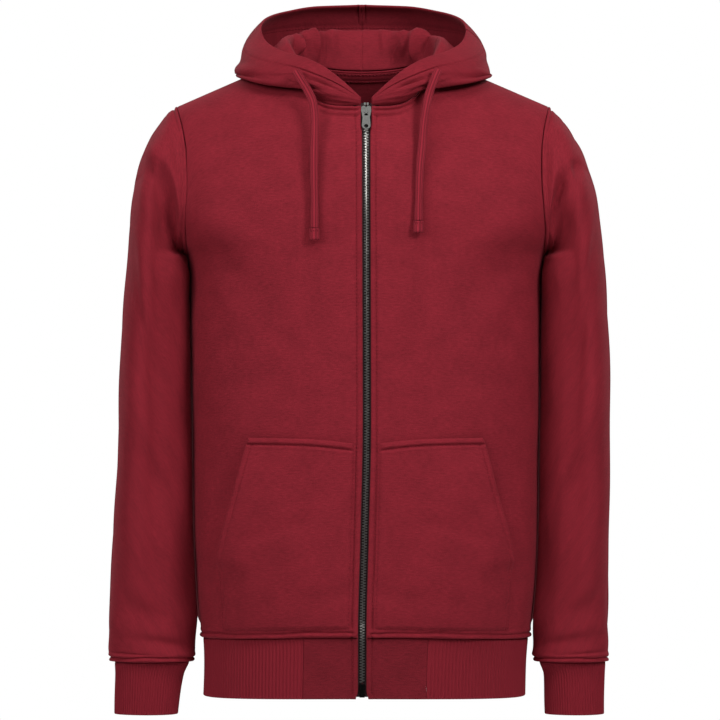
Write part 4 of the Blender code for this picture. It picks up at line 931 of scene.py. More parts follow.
# ---- drawcords ----
def oval(width, thick, square, sides):
    """Superellipse section: signed powers of a cosine and a sine."""
    turn = np.linspace(0, 2 * math.pi, sides, endpoint=False)
    cos, sin = np.cos(turn), np.sin(turn)
    return np.stack([np.sign(cos) * np.abs(cos) ** square * width / 2,
                     np.sign(sin) * np.abs(sin) ** square * thick / 2], -1)


def build_cord(name, route, node, tip_node):
    """The tie as a flat oval carried along the route; its end is folded over and sewn."""
    line = catmull(np.linspace(0, len(route) - 1, 150), route)
    way = unit(np.gradient(line, axis=0))
    across = unit(np.cross(way, np.array([0.0, -1.0, 0.0])))
    out = np.cross(across, way)
    out = out * np.sign(-out[:, 1:2])
    run = lengths(line[:, None], 0)[:, 0]
    twist = 0.16 * np.sin(run / 31.0 + route[0, 0])
    across, out = (across * np.cos(twist)[:, None] + out * np.sin(twist)[:, None],
                   out * np.cos(twist)[:, None] - across * np.sin(twist)[:, None])
    swell = 1 + 0.05 * np.sin(run / 13.0) + 0.03 * np.sin(run / 5.1 + 1.0)
    section = oval(CORD_WIDTH, CORD_THICK, 0.62, 36)[None] * np.stack([swell, swell], -1)[:, None]
    cord = tube(name, line, across, out, section, TIE)
    stand_for(cord, "tie", node)
    end, last_way = line[-1], way[-1]
    level = np.linspace(0, 1, 24)
    tip_line = end + last_way * (0.2 + level * TIP_LENGTH)[:, None]
    close = np.sqrt(np.clip(1 - np.abs(2 * level - 1) ** 8, 0.04, 1))
    pinch = 1 - 0.14 * bell(level, 0.22, 0.06)
    section = oval(TIP_WIDTH, TIP_THICK, 0.55, 36)[None] * np.stack(
        [0.9 + 0.1 * close, close * pinch], -1)[:, None]
    lasts = [np.repeat(v[-1:], len(level), 0) for v in (across, out)]
    tip = tube(name + "_tip", tip_line, *lasts, section, TIE)
    stand_for(tip, "tie", tip_node)
    rows = []
    for share in (0.2, 0.27):
        middle = end + last_way * (0.2 + share * TIP_LENGTH) + out[-1] * TIP_THICK / 2 * 0.92
        width = np.linspace(-4.4, 4.4, 9)[:, None]
        rows.append((middle + across[-1] * width, np.repeat(out[-1:], 9, 0)))
    thread = sew(name + "_tip_stitches", rows, THREAD, 1.6, 0.6, 0.3)
    stand_for(thread, "tie")


# ---- body panels ----
def panel(side, face, us, vs):
    """Outer grid and normals of a front or half the back, folds included."""
    t, v = np.meshgrid(us, vs, indexing="ij")
    crowded = panel_places(side, face, us)
    high = smoothstep((v - 0.7) / 0.3)
    u = t * (1 - high) + crowded[:, None] * high
    outer = panel_surface(side, face, u, v)
    normal = grid_normals(outer)
    towards = np.stack([side * (u + 0.1), face * (1.2 - u), 0 * u], -1)
    normal = normal * np.sign((normal * towards).sum(-1, keepdims=True))
    normal[-1, :, 1] = 0.0
    top = np.abs(outer[:, -1, 1]) < 0.01
    normal[top, -1, 1] = 0.0
    if face > 0:
        normal[0, :, 0] = 0.0
    normal = unit(normal)
    height = ripple(outer[..., 0], outer[..., 2], outer[..., 1])
    return outer + normal * height[..., None], normal


def neck_ridges(down, away):
    """The neck seam's turned allowance: a ridge at the seam and a second one under it that
    dies away from the zip; down is the distance below the neckline, away that from the zip."""
    near = 1 - smoothstep((away - 22) / 42)
    ridge_by_seam = 1.8 * bell(down, 2.6, 1.6)
    ditch = -1.7 * bell(down, 5.4, 1.1)
    second = 2.2 * bell(down - 8.6 - 0.03 * away, 0, 1.9)
    under = -1.7 * bell(down - 12.2 - 0.04 * away, 0, 1.5)
    return ridge_by_seam + ditch * (0.4 + 0.6 * near) + (second + under) * near


def hem_ridges(above, x):
    """Roll of the sewn allowance over the hem seam, a little wavy, with its stitched ditch."""
    wavy = above + 0.7 * np.sin(x / 21 + 0.6) + 0.35 * np.sin(x / 7.7)
    roll = 1.3 * bell(wavy, 2.3, 1.6) - 1.9 * bell(wavy, 5.8, 1.15)
    return roll + 0.7 * bell(wavy, 9.0, 2.6)


def fold_bulge(distance):
    """Folded edge beside the zip: a doubled cloth raised up to the stitch line 6 mm in."""
    raised = 0.8 * (1 - smoothstep((distance - 4.6) / 1.4))
    ditch = -1.1 * bell(distance, 6.2, 1.1)
    return raised + ditch


FRONT_ROWS = places(205, SHOULDER_TIP_HEIGHT - HEM_SEAM)
BACK_ROWS = places(140, SHOULDER_TIP_HEIGHT - HEM_SEAM)


def build_fronts():
    """Each front with its folded zip edge, hem seam and turned neck seam."""
    for side, end in HANDS:
        outer, normal = panel(side, -1, places(96, 215.0), FRONT_ROWS)
        along, up = lengths(outer, 0), lengths(outer, 1)
        down = up[:, -1:] - up
        neck = np.abs(outer[:, -1:, 0]) < NECK_POINT - 3
        away = np.abs(outer[:, -1:, 0] - HOOD_CENTRE_FRONT)
        height = fold_bulge(along) + hem_ridges(up, outer[..., 0]) * smoothstep(along / 8)
        height = height + neck * neck_ridges(down, away) * smoothstep(along / 5)
        outer = outer + normal * height[..., None]
        faces = rounded(outer, normal, np.full(along.shape, CLOTH), (2.4, 1.6, 1.2, 1.2))
        front = wall("front_cloth_" + end, *faces, FLEECE)
        stand_for(front, "fleece", "front_" + end, flat=(0.285, 0.70), held="hung", area=0.160)


def beside_sleeves(grid):
    """The back's fullness where it fills the space behind a hanging sleeve."""
    y, z = grid[..., 1], grid[..., 2]
    below = UNDERARM + ARMHOLE_CURVE * y ** 2 - 0.5 - z
    along = smoothstep(below / 6) * smoothstep((z + 626) / 20)
    deep = BACK_FULL + BACK_FULL_UNDERARM * bell(z, -234, 24)
    return deep * along * bell(y, BACK_FULL_Y, 12)


def build_back():
    """The back as two mirrored halves joined into one grid."""
    halves = [panel(side, 1, places(90, 250.0, first=False), BACK_ROWS) for side in (-1, 1)]
    outer = np.concatenate([halves[0][0][::-1], halves[1][0][1:]])
    normal = np.concatenate([halves[0][1][::-1], halves[1][1][1:]])
    thick = np.full(outer.shape[:2], CLOTH)
    height = hem_ridges(lengths(outer, 1), outer[..., 0]) + beside_sleeves(outer)
    outer = outer + normal * height[..., None]
    back = wall("back_cloth", *rounded(outer, normal, thick, (1.6, 1.6, 1.2, 1.2)), FLEECE)
    stand_for(back, "fleece", "back", flat=(0.56, 0.72), held="hung", area=0.335)


# ---- sleeves ----
def armhole_edge(side, steps=84):
    """The armhole seam from the shoulder down the front and up the back, and its normals."""
    height = SHOULDER_TIP_HEIGHT - HEM_SEAM
    under = (UNDERARM - HEM_SEAM) / height
    turn = np.linspace(0, math.pi, steps + 1)
    vs = under + (1 - under) * (1 - np.cos(turn)) / 2
    edge = panel_surface(side, -1, np.ones(vs.shape), vs)[::-1]
    back = panel_surface(side, 1, np.ones(vs.shape), vs)[1:-1]
    edge = np.concatenate([edge, back])
    edge[[0, steps], 1] = 0.0
    inside = edge * np.array([1.0, 0.0, 0.0]) + np.array([0.0, 0.0, -130.0])
    along = unit(np.roll(edge, -1, 0) - np.roll(edge, 1, 0))
    normal = unit(edge - inside)
    normal = unit(normal - along * (normal * along).sum(-1, keepdims=True))
    return edge, normal


def sleeve_ring(side, s, turn):
    """Slanted ellipse of the sleeve's table at place s; turn runs top, front, bottom, back."""
    rows = SLEEVE[:, [0 if side < 0 else 1, 2, 3 if side < 0 else 4, 5, 6, 7]]
    out_x, out_z, in_x, in_z, depth, y = np.moveaxis(catmull(s, rows), -1, 0)
    c = np.cos(turn)
    skewed = 1 + SLEEVE_SKEW * smoothstep((s - 0.5) / 4) * smoothstep((15.6 - s) / 4) * c
    return np.stack([side * ((out_x + in_x) / 2 + (out_x - in_x) / 2 * c),
                     y - depth * np.sin(turn) * skewed,
                     (out_z + in_z) / 2 + (out_z - in_z) / 2 * c], -1)


def sleeve_ripple(side, ring, degrees):
    """Folds of a sleeve: Gaussian troughs along short lines over its rings and angles."""
    height = (0.6 * np.sin(ring * 1.9 + degrees / 37) * np.sin(degrees / 29 + ring * 0.6)
              + 0.35 * np.sin(ring * 3.7 - degrees / 17 + side))
    height = height + fold_sum(ring, degrees, SLEEVE_FOLDS[SLEEVE_FOLDS[:, 0] == side][:, 1:])
    return height * smoothstep((ring - 0.05) / 1.2) * smoothstep((15.4 - ring) / 0.8)


def beside_body(side, grid, share):
    """Draw the sleeve's front inner side against the body's side, below the underarm, by
    CLOSING at most and by the given share; a gap softens down to CONTACT."""
    y, z = grid[..., 1], grid[..., 2]
    depth = np.where(y < 0, table(BODY, 3, z), table(BODY, 4, z))
    across = np.clip(1 - np.abs(y / depth) ** ROUNDNESS, 0, 1) ** (1 / ROUNDNESS)
    d = side * (grid[..., 0] - centre(z))
    gap = np.maximum(d - table(BODY, 2, z) * across, 0)
    left = gap - CLOSING - CLOSING_UNDERARM * bell(z, -228, 24)
    drawn_gap = CONTACT + (left + np.hypot(left, 3.0)) / 2
    share = share * smoothstep((14 - y) / 14) * smoothstep((UNDERARM + 9 - z) / 9)
    moved = np.minimum(drawn_gap - gap, 0) * share * smoothstep((z + 640) / 40)
    drawn = grid.copy()
    drawn[..., 0] = grid[..., 0] + side * moved
    return drawn


def cuff_seam(above, turn):
    """Roll of the allowance over the cuff seam, and the ditch its stitches pull in."""
    wavy = above + 0.4 * np.sin(turn * 3) + 0.25 * np.sin(turn * 7 + 1)
    return (0.8 * bell(wavy, 2.2, 1.5) - 1.8 * bell(wavy, 5.2, 1.1)
            + 0.6 * bell(wavy, 8.2, 2.4))


def build_sleeve(side, end):
    """A sleeve as rings that start on the armhole's seam and end at the cuff's."""
    edge, edge_normal = armhole_edge(side)
    half = (SHOULDER_TIP_HEIGHT - UNDERARM) / 2
    turn = np.arctan2(-edge[:, 1] / SLEEVE[0, 6], (edge[:, 2] - UNDERARM - half) / half)
    cut = edge - sleeve_ring(side, np.zeros(len(turn)), turn)
    rings = np.concatenate([[0.0, 0.03, 0.08, 0.15, 0.25, 0.4], np.linspace(0.5, 14.4, 136),
                            np.linspace(14.46, 15.9, 26), [15.94, 15.975, 16.0]])
    s, around = np.meshgrid(rings, turn, indexing="ij")
    fade = np.clip(1 - s / SLEEVE_FADE_RINGS, 0, 1) ** 2
    outer = sleeve_ring(side, s, around) + cut[None] * fade[..., None]
    outer = np.swapaxes(outer, 0, 1)
    normal = grid_normals(outer, wrap=True)
    middle = outer.mean(0, keepdims=True)
    normal = normal * np.sign(((outer - middle) * normal).sum())
    normal[:, 0] = unit(normal[:, 0] + 3 * edge_normal)
    degrees = np.degrees(np.where(turn < 0, turn + 2 * math.pi, turn))
    degrees = np.broadcast_to(degrees[:, None], s.T.shape)
    up = lengths(outer, 1)
    height = sleeve_ripple(side, s.T, degrees)
    height = height + cuff_seam(up[:, -1:] - up, np.radians(degrees))
    height = height + 0.9 * bell(up, 2, 1.6) - 1.3 * bell(up, 5, 1.1)
    outer = outer + normal * height[..., None]
    outer[:, 0, 0] += side * 2 * SEAM
    inner_side = smoothstep(-np.cos(np.radians(degrees)) / 0.4) * smoothstep(up / 4)
    outer = beside_body(side, outer, inner_side)
    turned = grid_normals(outer, wrap=True)
    turned = turned * np.sign((turned * normal).sum(-1, keepdims=True))
    turned[:, [0, -1]] = normal[:, [0, -1]]
    normal = turned
    thick = CLOTH + 2.6 * smoothstep(1 - (up[:, -1:] - up) / 3.0)
    faces = rounded(outer, normal, thick, (0, 0, 1.2, 1.3), wrap=True)
    sleeve = wall("sleeve_cloth_" + end, *faces, FLEECE, wrap=True, thin=(3, 1))
    stand_for(sleeve, "fleece", "sleeve_" + end, flat=(0.40, 0.62), held="hung", area=0.20)


# ---- ribbed pieces ----
def rib_wave(run, pitch):
    """Ribs as a rounded wave: the sine's signed power 0.7, one period each pitch."""
    wave = np.sin(2 * math.pi * run / pitch)
    return np.sign(wave) * np.abs(wave) ** 0.7


def rib_rows(height):
    """Shares of a rib's height: close rows at its rounded ends, wide ones between."""
    ends = np.array([0.0, 0.2, 0.5, 0.9, 1.5, 2.4, 3.6, 5.2, 7.6])
    middle = np.linspace(ends[-1], height - ends[-1], 10)[1:-1]
    return np.concatenate([ends, middle, height - ends[::-1]]) / height


def build_cuff(side, end):
    """Ring of ribs: an ellipse from the table moved out by the wave, softer at the top seam."""
    columns = (1, 3) if side < 0 else (2, 4)
    fine = np.linspace(0, 2 * math.pi, 1441)
    level = CUFF[1, 0]
    half = (table(CUFF, columns[0], level) - table(CUFF, columns[1], level)) / 2
    ring = np.stack([half * np.cos(fine), table(CUFF, 5, level) * np.sin(fine)], -1)
    run = run_along(ring)
    ribs = round(run[-1] / CUFF_RIB_PITCH)
    count = ribs * RIB_STEPS
    turn = np.interp(np.arange(count) / count * run[-1], run, fine)
    height = CUFF[0, 0] + (CUFF[-1, 0] - CUFF[0, 0]) * rib_rows(CUFF[0, 0] - CUFF[-1, 0])
    u, z = np.meshgrid(turn, height, indexing="ij")
    out_x, in_x = (table(CUFF, c, z) for c in columns)
    depth = table(CUFF, 5, z)
    waver = 0.7 * np.sin(3 * u + side) * np.sin((z + 680) / 17)
    centre_line = side * (out_x + in_x) / 2

    def ring_at(offset):
        half_width = (out_x - in_x) / 2 + offset
        return np.stack([centre_line + side * half_width * np.cos(u),
                         CUFF_MIDDLE_Y - (depth + offset) * np.sin(u), z], -1)

    wave = RIB_RELIEF * rib_wave(np.arange(count) / RIB_STEPS, 1.0)[:, None]
    wave = wave * smoothstep((CUFF[0, 0] + 1 - z) / 6)
    outer, inner = ring_at(wave + waver), ring_at(waver - RIB_WALL + 0.4 * wave)
    normal = unit(outer - inner)
    thick = np.linalg.norm(outer - inner, axis=-1)
    cuff = wall("cuff_rib_" + end, *rounded(outer, normal, thick, (0, 0, 1.4, 1.2), wrap=True),
                RIB, wrap=True, thin=(2, 1))
    stand_for(cuff, "rib", "cuff_" + end, flat=(0.17, 0.12), held="folded", area=0.0110)


def hem_ring(side, share, face, level, offset):
    """Hem section: the body's superellipse drawn in by the tuck, moved out by offset."""
    z = hem_height(share, face, level) - 2 * SEAM
    half = table(BODY, 2, z) - HEM_TUCK
    rest = np.clip(1 - share ** ROUNDNESS, 0, 1)
    depth = np.where(face < 0, table(BODY, 3, z), table(BODY, 4, z)) - HEM_TUCK
    y = face * depth * rest ** (1 / ROUNDNESS)
    flat = unit(np.stack([side * share ** (ROUNDNESS - 1) / half,
                          face * rest ** (1 - 1 / ROUNDNESS) / depth, 0 * z], -1))
    return np.stack([centre(z) + side * share * half, y, z], -1) + flat * offset[..., None]


def build_hem_rib():
    """The hem's ribbing round the body from one block to the other."""
    quarter = np.linspace(0, 1, 361)
    half = table(BODY, 2, -660.0)
    start = spread_inverse(BLOCK_SHARE + 0.06 / half)
    front, back = spread(start + (1 - start) * quarter), spread(quarter[::-1])
    signed = np.concatenate([-front, -back[1:], back[::-1][1:], front[::-1][1:]])
    face = np.concatenate([np.full(361, -1.0), np.full(720, 1.0), np.full(360, -1.0)])
    ring = hem_ring(np.sign(signed + 1e-9), np.abs(signed), face, 0.5, 0 * signed)
    run = run_along(ring)
    ribs = round(run[-1] / HEM_RIB_PITCH)
    steps = np.arange(2, ribs * RIB_STEPS - 1) / RIB_STEPS * HEM_RIB_PITCH
    place = np.concatenate([[0, 0.3, 0.7], steps, [run[-1] - 0.7, run[-1] - 0.3, run[-1]]])
    place = np.clip(place * run[-1] / (ribs * HEM_RIB_PITCH), 0, run[-1])
    place[[0, 1, 2, -3, -2, -1]] = [0, 0.3, 0.7, run[-1] - 0.7, run[-1] - 0.3, run[-1]]
    at = np.interp(place, run, np.arange(len(run)))
    share = np.interp(at, np.arange(len(run)), signed)
    facing = face[np.clip(np.round(at).astype(int), 0, len(face) - 1)]
    levels = rib_rows(HEM_SEAM - HEM_END)
    u, level = np.meshgrid(share, levels, indexing="ij")
    facing = np.broadcast_to(facing[:, None], u.shape)
    sides = np.where(u < 0, -1.0, 1.0)
    wave = RIB_RELIEF * rib_wave(place, run[-1] / ribs)[:, None] * smoothstep(level / 0.06 + 0.3)
    waver = 0.8 * np.sin(place / 41.0)[:, None] * np.sin(level * 3.1)
    outer = hem_ring(sides, np.abs(u), facing, level, wave + waver)
    inner = hem_ring(sides, np.abs(u), facing, level, waver - RIB_WALL)
    normal, thick = unit(outer - inner), np.linalg.norm(outer - inner, axis=-1)
    rib = wall("hem_ribbing", *rounded(outer, normal, thick, (0.3, 0.3, 1.4, 1.3)), RIB,
               thin=(RIB_STEPS, 1))
    stand_for(rib, "rib", "hem_rib", flat=(0.80, 0.14), held="folded", area=0.062)


def build_hem_blocks():
    """The plain blocks that close the hem beside the zip."""
    for side, end in HANDS:
        u, level = np.meshgrid(places(34, 66.0), places(26, 66.0), indexing="ij")
        z = HEM_SEAM + (HEM_END - HEM_SEAM) * level
        corner = 2.2 * smoothstep((level - 0.82) / 0.18) ** 2
        inner_edge = (zip_distance(side, z) + corner) / (table(BODY, 2, z) - HEM_TUCK)
        share = inner_edge + (BLOCK_SHARE - inner_edge) * u
        face = np.full(u.shape, -1.0)
        waver = 0.4 * np.sin(u * 5 + side) * np.sin(level * 4)
        outer = hem_ring(np.full(u.shape, float(side)), share, face, level, waver + 0.3)
        inner = hem_ring(np.full(u.shape, float(side)), share, face, level, waver - RIB_WALL)
        along = lengths(outer, 0)
        normal, thick = unit(outer - inner), np.linalg.norm(outer - inner, axis=-1)
        outer = outer + normal * (fold_bulge(along) * 0.7)[..., None]
        block = wall("hem_block_cloth_" + end,
                     *rounded(outer, normal, thick, (2.2, 0.35, 1.4, 1.6)), FLEECE_HEM_PAINTED_SHADE)
        stand_for(block, "fleece", "hem_block_" + end,
                  flat=(0.075, 0.135), held="folded", area=0.0044)


# ---- pockets ----
def pocket_place(side, u, z):
    """Distance from the centre and height of a pocket's point: u from the zip to the mouth."""
    edge = np.interp(z, [POCKET_FOOT[1], POCKET_MOUTH_END[1] - 6, POCKET_MOUTH_END[1] + 6,
                         POCKET_TOP],
                     [POCKET_FOOT[0], POCKET_MOUTH_END[0] - 0.6, POCKET_MOUTH_END[0] - 1.4,
                      POCKET_CORNER])
    start = side * (table(ZIP_LINE, 1, z) - centre(z)) + POCKET_INNER
    d = start + (edge - start) * u
    rise = (z - POCKET_FOOT[1]) / (POCKET_TOP - POCKET_FOOT[1])
    foot = hem_height(d / POCKET_MOUTH_END[0] * 0.86, -1, 0.0) + POCKET_FOOT_CLEAR
    z = z + (foot - POCKET_FOOT[1]) * (1 - rise) ** 2 + POCKET_TOP_SAG * rise * (1 - u) ** 3
    return d, z, rise


def pocket_skin(side, u, z, lift=0.0):
    """The pocket over the front's folds: flat to it along the zip, foot and sewn side, a
    cloth's thickness above it at the top, and puffed out towards its open mouth."""
    d, z, rise = pocket_place(side, u, z)
    sewn = 1 - smoothstep((z - POCKET_MOUTH_END[1]) / MOUTH_CLOSE)
    puff = POCKET_PUFF * smoothstep(u / 0.4) * np.sin(math.pi * np.clip(rise, 0, 1)) ** 0.6
    crease = (-1.8 * bell(rise - 0.66 + 0.22 * u, 0, 0.05) * smoothstep((u - 0.1) / 0.5)
              + 1.2 * bell(rise - 0.4 + 0.3 * u, 0, 0.07) * smoothstep((u - 0.2) / 0.5)
              - 1.4 * bell(rise - 0.2 + 0.1 * u, 0, 0.05) * smoothstep((0.8 - u) / 0.5))
    rise_edge = smoothstep(np.minimum(rise, 1 - rise) / 0.08)
    puff = (puff + crease * rise_edge * smoothstep((1 - u) / 0.2))
    puff = puff * (1 - sewn * smoothstep((u - 0.7) / 0.3))
    side_step = 1 - sewn * smoothstep((u - 0.955) / 0.04) * 0.6
    inner_step = smoothstep(u / 0.045)
    foot_step = smoothstep(rise / 0.03)
    above = POCKET_EDGE + (CLOTH * side_step - POCKET_EDGE + POCKET_LIFT) * inner_step * foot_step
    gape = 3.6 * smoothstep((u - 0.8) / 0.2) * smoothstep((z - POCKET_MOUTH_END[1] - 4) / 40)
    point, normal = skin(side, d, z, -1)
    return point + normal * (above + puff + gape + lift)[..., None], normal, above


def build_pockets():
    """Each pocket with its turned top hem and the facing along its open mouth."""
    for side, end in HANDS:
        share = places(74, 150.0)
        heights = POCKET_FOOT[1] + (POCKET_TOP - POCKET_FOOT[1]) * places(100, 210.0)
        u, z = np.meshgrid(share, heights, indexing="ij")
        outer, normal, above = pocket_skin(side, u, z, 0 * u)
        along, up = lengths(outer, 0), lengths(outer, 1)
        from_mouth, from_top = along[-1] - along, up[:, -1:] - up
        open_part = smoothstep((z - POCKET_MOUTH_END[1] + 10) / 20)
        hem = 1.6 * bell(from_top, 3.2, 2.8, 4)
        hem = hem - 1.5 * bell(from_top, 7.6, 1.2)
        hem = hem + 0.5 * bell(from_top, 10.6, 2.2)
        facing = 0.5 * bell(from_mouth, 3.0, 2.6, 4) * open_part
        facing = facing - 0.7 * bell(from_mouth, 7.2, 1.1)
        chosen = np.where(from_top < 12, hem, 0) * smoothstep(from_mouth / 3) + np.where(
            from_top > 8, facing, 0)
        outer = outer + normal * (chosen * smoothstep(along / 8))[..., None]
        thick = np.minimum(CLOTH, 0.85 * above)
        pocket = wall("pocket_cloth_" + end,
                      *rounded(outer, normal, thick, (0.8, 1.5, 0.8, 1.4)), FLEECE)
        stand_for(pocket, "fleece", "pocket_" + end, flat=(0.165, 0.225), held="laid", area=0.034)


# ---- hood ----
def neck_line(side):
    """The neckline's edge from the zip round to the middle back."""
    us = np.unique(np.concatenate([np.linspace(0, 1, 105), 0.0045 * np.arange(1, 9)]))
    parts = []
    for face in (-1, 1):
        places_on = panel_places(side, face, us * neck_share(side, face))
        line = panel_surface(side, face, places_on, np.ones(us.shape))
        parts.append(line if face < 0 else line[::-1][1:])
    return np.concatenate(parts)


def hood_ripple(side, angle, place):
    """Folds of the hood, dying away at the neck, the casing and both ends."""
    height = 0.5 * np.sin(angle / 11 + place * 2.1 + side) * np.sin(place * 2.6 + angle / 23)
    height = height + fold_sum(angle, place, HOOD_FOLDS[HOOD_FOLDS[:, 0] == side][:, 1:])
    fade = smoothstep(place / 0.3) * smoothstep((5.05 - place) / 0.5)
    return height * fade * smoothstep(angle / 22) * smoothstep((180.5 - angle) / 7)


def hood_section(angle, start_r, start_z):
    """Section points (radius, height) of the hood at each angle, the neck edge first."""
    section = np.stack([pchip(angle, HOOD[:, 0], HOOD[:, k]) for k in range(1, 13)], -1)
    section = section.reshape(angle.shape + (6, 2))
    return np.concatenate([np.stack([start_r, start_z], -1)[..., None, :], section], -2)


def hood_outer(side, places_along):
    """Outer grid of half the hood: sections by Catmull-Rom curves on planes through the
    neck's axis, with the casing raised beyond its seam and the folds added."""
    edge = neck_line(side)
    front_share = np.clip((60 - edge[:, 1]) / 160, 0, 1)
    middle_x = HOOD_CENTRE_BACK + (HOOD_CENTRE_FRONT - HOOD_CENTRE_BACK) * front_share
    across = np.maximum(side * (edge[:, 0] - middle_x), 0)
    angle = np.degrees(np.arctan2(across, NECK_AXIS_Y - edge[:, 1]))
    start_r = np.hypot(across, edge[:, 1] - NECK_AXIS_Y)
    section = hood_section(angle, start_r, edge[:, 2] + 2 * SEAM)
    line = catmull(places_along, np.moveaxis(section, 1, 0))
    line = np.swapaxes(line, 0, 1)
    tangent = unit(np.gradient(line, axis=1))
    normal = np.stack([tangent[..., 1], -tangent[..., 0]], -1)
    band = smoothstep((places_along - BAND_START) / 0.1)[None] * smoothstep(
        angle / BAND_FADE - 0.2)[:, None]
    ditch = -1.1 * bell(places_along - BAND_START, -0.02, 0.045)[None]
    shown = smoothstep(angle / BAND_FADE) * (1 - 0.75 * smoothstep((angle - 38) / 26))
    height = (BAND_OUTSIDE * band + ditch) * shown[:, None]
    height = height + hood_ripple(side, angle[:, None], places_along[None])
    out = line + normal * height[..., None]
    sine, cosine = np.sin(np.radians(angle)) * side, -np.cos(np.radians(angle))

    def turned(rz):
        return np.stack([middle_x[:, None] + rz[..., 0] * sine[:, None],
                         NECK_AXIS_Y + rz[..., 0] * cosine[:, None], rz[..., 1]], -1)

    flat = np.stack([normal[..., 0] * sine[:, None], normal[..., 0] * cosine[:, None],
                     normal[..., 1]], -1)
    grid = turned(out)
    grid[-1, :, 0] = side * 0.003
    return grid, flat, angle, band


def build_hood():
    """Each half of the hood with its casing and the seam up its middle back."""
    along = np.unique(np.concatenate([
        np.array([0.0, 0.04, 0.1, 0.2]), np.linspace(0.3, 4.85, 104),
        np.linspace(4.88, 5.14, 16), np.linspace(5.17, 5.86, 20),
        np.array([5.9, 5.93, 5.955, 5.975, 5.99, 6.0])]))
    for side, end in HANDS:
        outer, normal, _, band = hood_outer(side, along)
        from_back = lengths(outer, 0)
        from_back = from_back[-1:] - from_back
        seam = 1.3 * bell(from_back, 0, 2.8, 4) - 1.2 * bell(from_back, 4, 0.9)
        seam = seam * band - 0.6 * bell(from_back, 0.3, 1.1)
        casing = -0.9 * bell(along[None], BAND_START, 0.03) * band.max(1)[:, None]
        thick = CLOTH + 1.0 * band + np.maximum(seam, -1.2) + casing
        faces = rounded(outer, normal, thick, (1.6, 0, 1.6, 1.6))
        hood = wall("hood_cloth_" + end, *faces, FLEECE_HOOD_PAINTED_SHADE, thin=(1, 3))
        stand_for(hood, "fleece", "hood_" + end, flat=(0.27, 0.40), held="folded", area=0.078)


# ---- neck tape ----
def neck_back(x, drop):
    """Points of the back at a drop below its neckline, with their normals."""
    side, d = np.where(x < 0, -1.0, 1.0), np.abs(x)
    z = neck_height(d, 1) - drop
    return body_point(side, d, z, 1), body_normal(side, d, z, 1)


def build_neck_tape():
    """A folded jersey tape sewn inside the back neck."""
    x, drop = np.meshgrid(70.0 * (2 * places(120, 150.0) - 1), 1.5 + 9.0 * places(10, 9.0),
                          indexing="ij")
    base, normal = neck_back(x, drop)
    outer = base - normal * (CLOTH + 0.6)
    ridges = 0.25 * np.cos((drop - 6) / 3 * math.pi)
    inner = outer - normal - normal * ridges[..., None]
    stand_for(wall("neck_tape_cloth", outer, inner, FLEECE_INSIDE), "neck_tape", "neck_tape",
              flat=(0.16, 0.010), held="laid", area=0.0016)


# ---- zip ----
ZIP_FOOT = -674.0
CHAIN_TOP = -58.5
TOOTH_PITCH = 3.0
ZIP_TUCK = 1.9                # the zip sinks this far behind the hem blocks
ZIP_TUCK_HEIGHT = 7.0


def zip_frame(z):
    """Middle of the zip on the fronts' face, with its outward normal, at heights z."""
    x = table(ZIP_LINE, 1, z)
    side = np.where(x >= centre(z), 1.0, -1.0)
    depth = body_point(side, np.abs(x - centre(z)), z, -1)[..., 1]
    seam = HEM_SEAM + HEM_SEAM_FRONT_LIFT
    y = depth + ZIP_TUCK * smoothstep((seam + 2 * ZIP_TUCK_HEIGHT - z) / ZIP_TUCK_HEIGHT)
    height = ripple(x, z, y)
    normal = unit(np.stack([0 * z, -np.ones(len(z)), np.gradient(y, z)], -1))
    return np.stack([x, y, z], -1) + normal * height[:, None], normal


def build_teeth():
    """Each tooth is a small block: a base clamped on the tape, a raised head, bevelled ends.

    Teeth sit a pitch apart down both sides, those of one side half a pitch below the other.
    """
    profile = np.array([
        # across, half height, front, back
        (2.75, 0.62, -1.9, -3.5),
        (2.45, 0.80, -1.45, -3.95),
        (0.9, 0.80, -1.4, -4),
        (0.1, 0.66, -1.55, -3.85),
        (-0.55, 0.52, -2, -3.4),
    ])
    for side, end in HANDS:
        z = np.arange(CHAIN_TOP - 1.2 - (0.75 + side * 0.75), ZIP_FOOT + 1.0, -TOOTH_PITCH)
        middle, normal = zip_frame(z[::-1])
        middle, normal = middle[::-1], normal[::-1]
        up = np.cross(np.array([1.0, 0.0, 0.0]), normal)
        up = up * np.sign(up[:, 2:3])
        corners = []
        for across, half, front, back in profile:
            for depth, height in ((front, half), (front, -half), (back, -half), (back, half)):
                corners.append((side * across, depth, height))
        corners = np.array(corners)
        points = (middle[:, None] + np.array([1.0, 0.0, 0.0]) * corners[None, :, :1]
                  + normal[:, None] * corners[None, :, 1:2] + up[:, None] * corners[None, :, 2:])
        ring = np.arange(20).reshape(5, 4)
        nxt = np.roll(ring, -1, 1)
        quads = np.stack([ring[:-1], nxt[:-1], nxt[1:], ring[1:]], -1).reshape(-1, 4)
        quads = np.concatenate([quads, [[3, 2, 1, 0], [16, 17, 18, 19]]])
        if side < 0:
            quads = quads[:, ::-1]
        all_quads = (quads[None] + 20 * np.arange(len(z))[:, None, None]).reshape(-1, 4)
        teeth = link("zip_teeth_row_" + end, points.reshape(-1, 3), [all_quads], TEETH)
        teeth.data.set_sharp_from_angle(angle=math.radians(30))
        stand_for(teeth, "gunmetal", "zip_teeth_" + end)


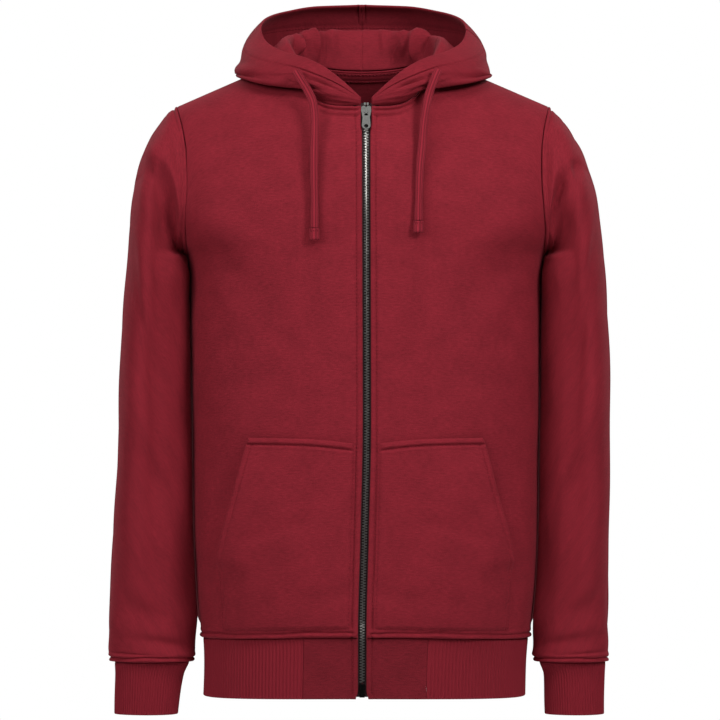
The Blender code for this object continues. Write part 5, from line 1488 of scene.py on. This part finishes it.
def build_zip_tapes():
    """Woven strips behind the folds, with a corded edge where the teeth clamp on."""
    z = np.linspace(HEM_END + HEM_END_FRONT_LIFT + 2.0, -46.5, 220)
    middle, normal = zip_frame(z)
    across = np.concatenate([[0.3, 0.5, 0.8, 1.2, 1.7, 2.2, 2.7], np.linspace(3.2, 14.0, 18)])
    cord = 0.5 * bell(across, 1.2, 0.8)
    for side, end in HANDS:
        grid = [middle[None] + np.array([side, 0.0, 0.0]) * across[:, None, None]
                + normal[None] * (depth + share * cord)[:, None, None]
                for depth, share in ((-2.8, 0.9), (-3.6, -0.9))]
        strip = wall("zip_tape_weave_" + end, *grid, TAPE)
        stand_for(strip, "zip_tape", "zip_tape_" + end)


# ---- stitching ----
def build_stitching():
    """Rows of stitches along the zip, pockets, casing, tape and hem blocks."""
    rows = []
    for side in (-1, 1):
        def pocket_row(share, height, lift=0.0):
            share, height = np.broadcast_arrays(share, height)
            rows.append(pocket_skin(side, share, height, 0 * share + lift)[:2])

        z = np.linspace(-56.0, -622.0, 420)
        rows.append(skin(side, zip_distance(side, z) + ZIP_STITCH, z, -1, -0.25))
        z = np.linspace(-631.0, -688.0, 60)
        share = (zip_distance(side, z) + ZIP_STITCH) / (table(BODY, 2, z) - HEM_TUCK)
        level = (z - HEM_SEAM) / (HEM_END - HEM_SEAM)
        line = hem_ring(0 * z + side, share, 0 * z - 1, level, 0 * z + 0.1)
        rows.append((line, np.broadcast_to(np.array([0.0, -1.0, 0.0]), line.shape)))
        heights = np.linspace(POCKET_FOOT[1] + 2.0, POCKET_TOP - 1.0, 160)
        shares = np.linspace(0.02, 0.985, 160)
        pocket_row(1 - 7.2 / 150.0, heights, -0.5)
        pocket_row(2.2 / 120.0, heights)
        pocket_row(1 - 1.8 / 150.0, heights[heights < POCKET_MOUTH_END[1]])
        pocket_row(shares, POCKET_TOP - 7.4, -0.9)
        pocket_row(shares, POCKET_FOOT[1] + 2.2)
    stand_for(sew("cloth_stitches", rows, THREAD), "fleece")
    rows = []
    for side in (-1, 1):
        grid, normal, angle, _ = hood_outer(side, np.array([4.95, 4.97, 5.03, 5.2]))
        keep = angle > 14
        rows.append((grid[keep, 1], normal[keep, 1]))
        rows.append((grid[keep, 1] - normal[keep, 1] * CLOTH, -normal[keep, 1]))
    stand_for(sew("casing_stitches", rows, THREAD), "fleece")
    rows = []
    for drop in (2.6, 9.4):
        base, normal = neck_back(np.linspace(-68.0, 68.0, 120), drop)
        rows.append((base - normal * (CLOTH + 1.75), -normal))
    stand_for(sew("neck_tape_stitches", rows, THREAD), "neck_tape")


def dress_cad_nodes():
    """Metal pieces whose shape stands as it is."""
    for node in ("zip_slider", "zip_pull", "zip_box", "zip_stop_left", "zip_stop_right"):
        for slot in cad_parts[node].material_slots:
            slot.material = METAL


set_camera()
set_light()
set_floor()
build_cord("tie_left", CORD_LEFT, "drawcord_left", "drawcord_tip_left")
build_cord("tie_right", CORD_RIGHT, "drawcord_right", "drawcord_tip_right")
build_fronts()
build_back()
for hand, hand_name in HANDS:
    build_sleeve(hand, hand_name)
    build_cuff(hand, hand_name)
build_hem_rib()
build_hem_blocks()
build_pockets()
build_hood()
build_neck_tape()
build_teeth()
build_zip_tapes()
build_stitching()
dress_cad_nodes()
